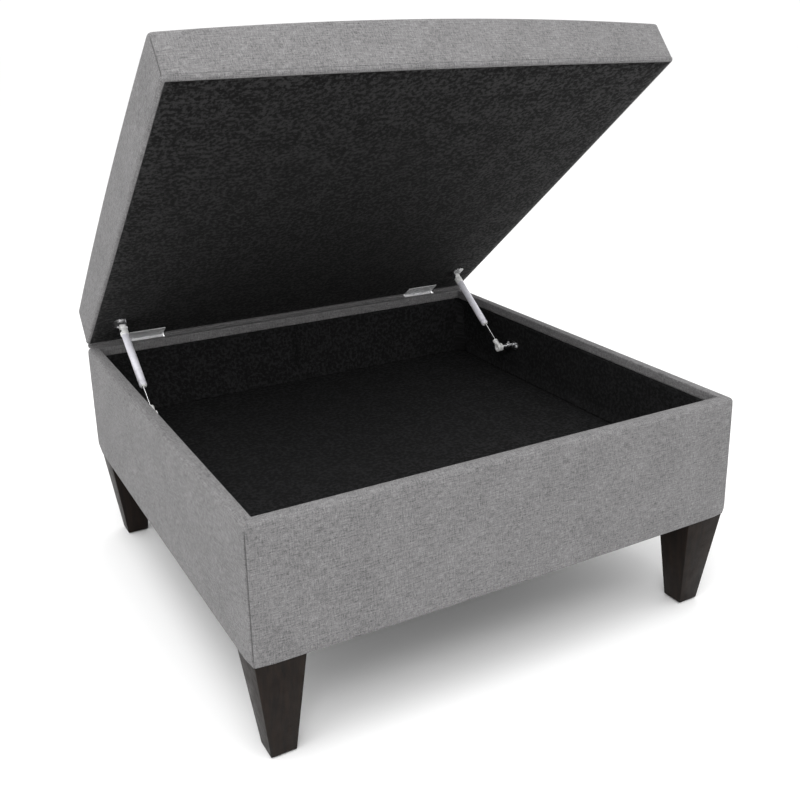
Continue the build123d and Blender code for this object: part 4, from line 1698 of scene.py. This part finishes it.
@dataclass
class Studio:
    """A pale floor, soft light and the camera."""

    eye: tuple = (-0.85039, -1.63830, 1.05088)
    yaw: float = 30.05
    pitch: float = 17.42
    roll: float = -0.655
    sensor: float = 36.0
    lens: float = 45.71217
    shift: tuple = (-0.03515, -0.0773)
    floor_drop: float = 0.0004
    floor_reach: float = 40.0
    room_light: float = 1.05

    def camera(self) -> None:
        """Stands the camera where the ottoman is seen from its front left."""
        data = bpy.data.cameras.new("studio_camera")
        data.sensor_width, data.lens = self.sensor, self.lens
        data.shift_x, data.shift_y = self.shift
        camera = bpy.data.objects.new("studio_camera", data)
        bpy.context.scene.collection.objects.link(camera)
        tilt = Matrix.Rotation(math.radians(90 - self.pitch), 4, "X")
        spin = Matrix.Rotation(math.radians(-self.yaw), 4, "Z")
        lean = Matrix.Rotation(math.radians(self.roll), 4, "Z")
        eye = Vector(self.eye) + Vector((0, OTTOMAN.middle_y, 0))
        camera.matrix_world = Matrix.Translation(eye) @ spin @ tilt @ lean
        bpy.context.scene.camera = camera

    def floor(self) -> None:
        """Lays a pale floor out to the horizon."""
        bm = bmesh.new()
        bmesh.ops.create_circle(bm, cap_ends=True, segments=64, radius=self.floor_reach)
        mesh = bpy.data.meshes.new("studio_floor")
        bm.to_mesh(mesh)
        bm.free()
        pale = bpy.data.materials.new("pale_floor")
        pale.use_nodes = True
        shader = pale.node_tree.nodes["Principled BSDF"]
        shader.inputs["Base Color"].default_value = (0.96, 0.96, 0.96, 1.0)
        shader.inputs["Roughness"].default_value = 0.9
        shader.inputs["Specular IOR Level"].default_value = 0.1
        mesh.materials.append(pale)
        mesh.transform(Matrix.Translation((0.0, 0.0, -self.floor_drop)))
        floor = bpy.data.objects.new("studio_floor", mesh)
        bpy.context.scene.collection.objects.link(floor)

    def lamp(self, name: str, place: tuple, aim: tuple, size: float, power: float) -> None:
        """Hangs one soft square lamp."""
        data = bpy.data.lights.new(name, "AREA")
        data.size, data.energy = size, power
        lamp = bpy.data.objects.new(name, data)
        bpy.context.scene.collection.objects.link(lamp)
        lamp.location = place
        lamp.rotation_mode = "QUATERNION"
        lamp.rotation_quaternion = (Vector(aim) - Vector(place)).to_track_quat("-Z", "Y")

    def light(self) -> None:
        """Sets the room's own light and the lamps."""
        world = bpy.data.worlds.new("studio_room")
        world.use_nodes = True
        world.node_tree.nodes["Background"].inputs["Color"].default_value = (1.0, 1.0, 1.0, 1.0)
        world.node_tree.nodes["Background"].inputs["Strength"].default_value = self.room_light
        bpy.context.scene.world = world
        self.lamp("overhead_lamp", (-0.6, -1.0, 3.6), (0, 0, 0.3), 3.0, 72)
        self.lamp("left_lamp", (-2.8, -1.2, 2.2), (0, 0, 0.3), 2.2, 7)
        self.lamp("front_lamp", (-1.2, -2.3, 2.5), (0, 0, 0.4), 0.8, 18)
        bpy.context.scene.view_settings.view_transform = "Standard"

    def build(self) -> None:
        """Sets up the whole studio."""
        self.floor()
        self.light()
        self.camera()


def main() -> None:
    """Builds every sub-assembly in order."""
    logging.basicConfig(level=logging.INFO, format="%(name)s: %(message)s")
    BoxCover().build()
    linings = BoxLinings()
    linings.walls()
    linings.floor()
    linings.underneath()
    for corner in ("front_left", "front_right", "back_left", "back_right"):
        Leg(f"leg_{corner}").build()
    LidBoard().build()
    LidCushion().build()
    LidDustCover().build()
    CreaseStrip().build()
    HingeSet().build()
    for side in Side:
        GasStrut(side).build()
    BracketScrews().build()
    dress_nodes()
    Studio().build()


if __name__ == "__main__":
    main()
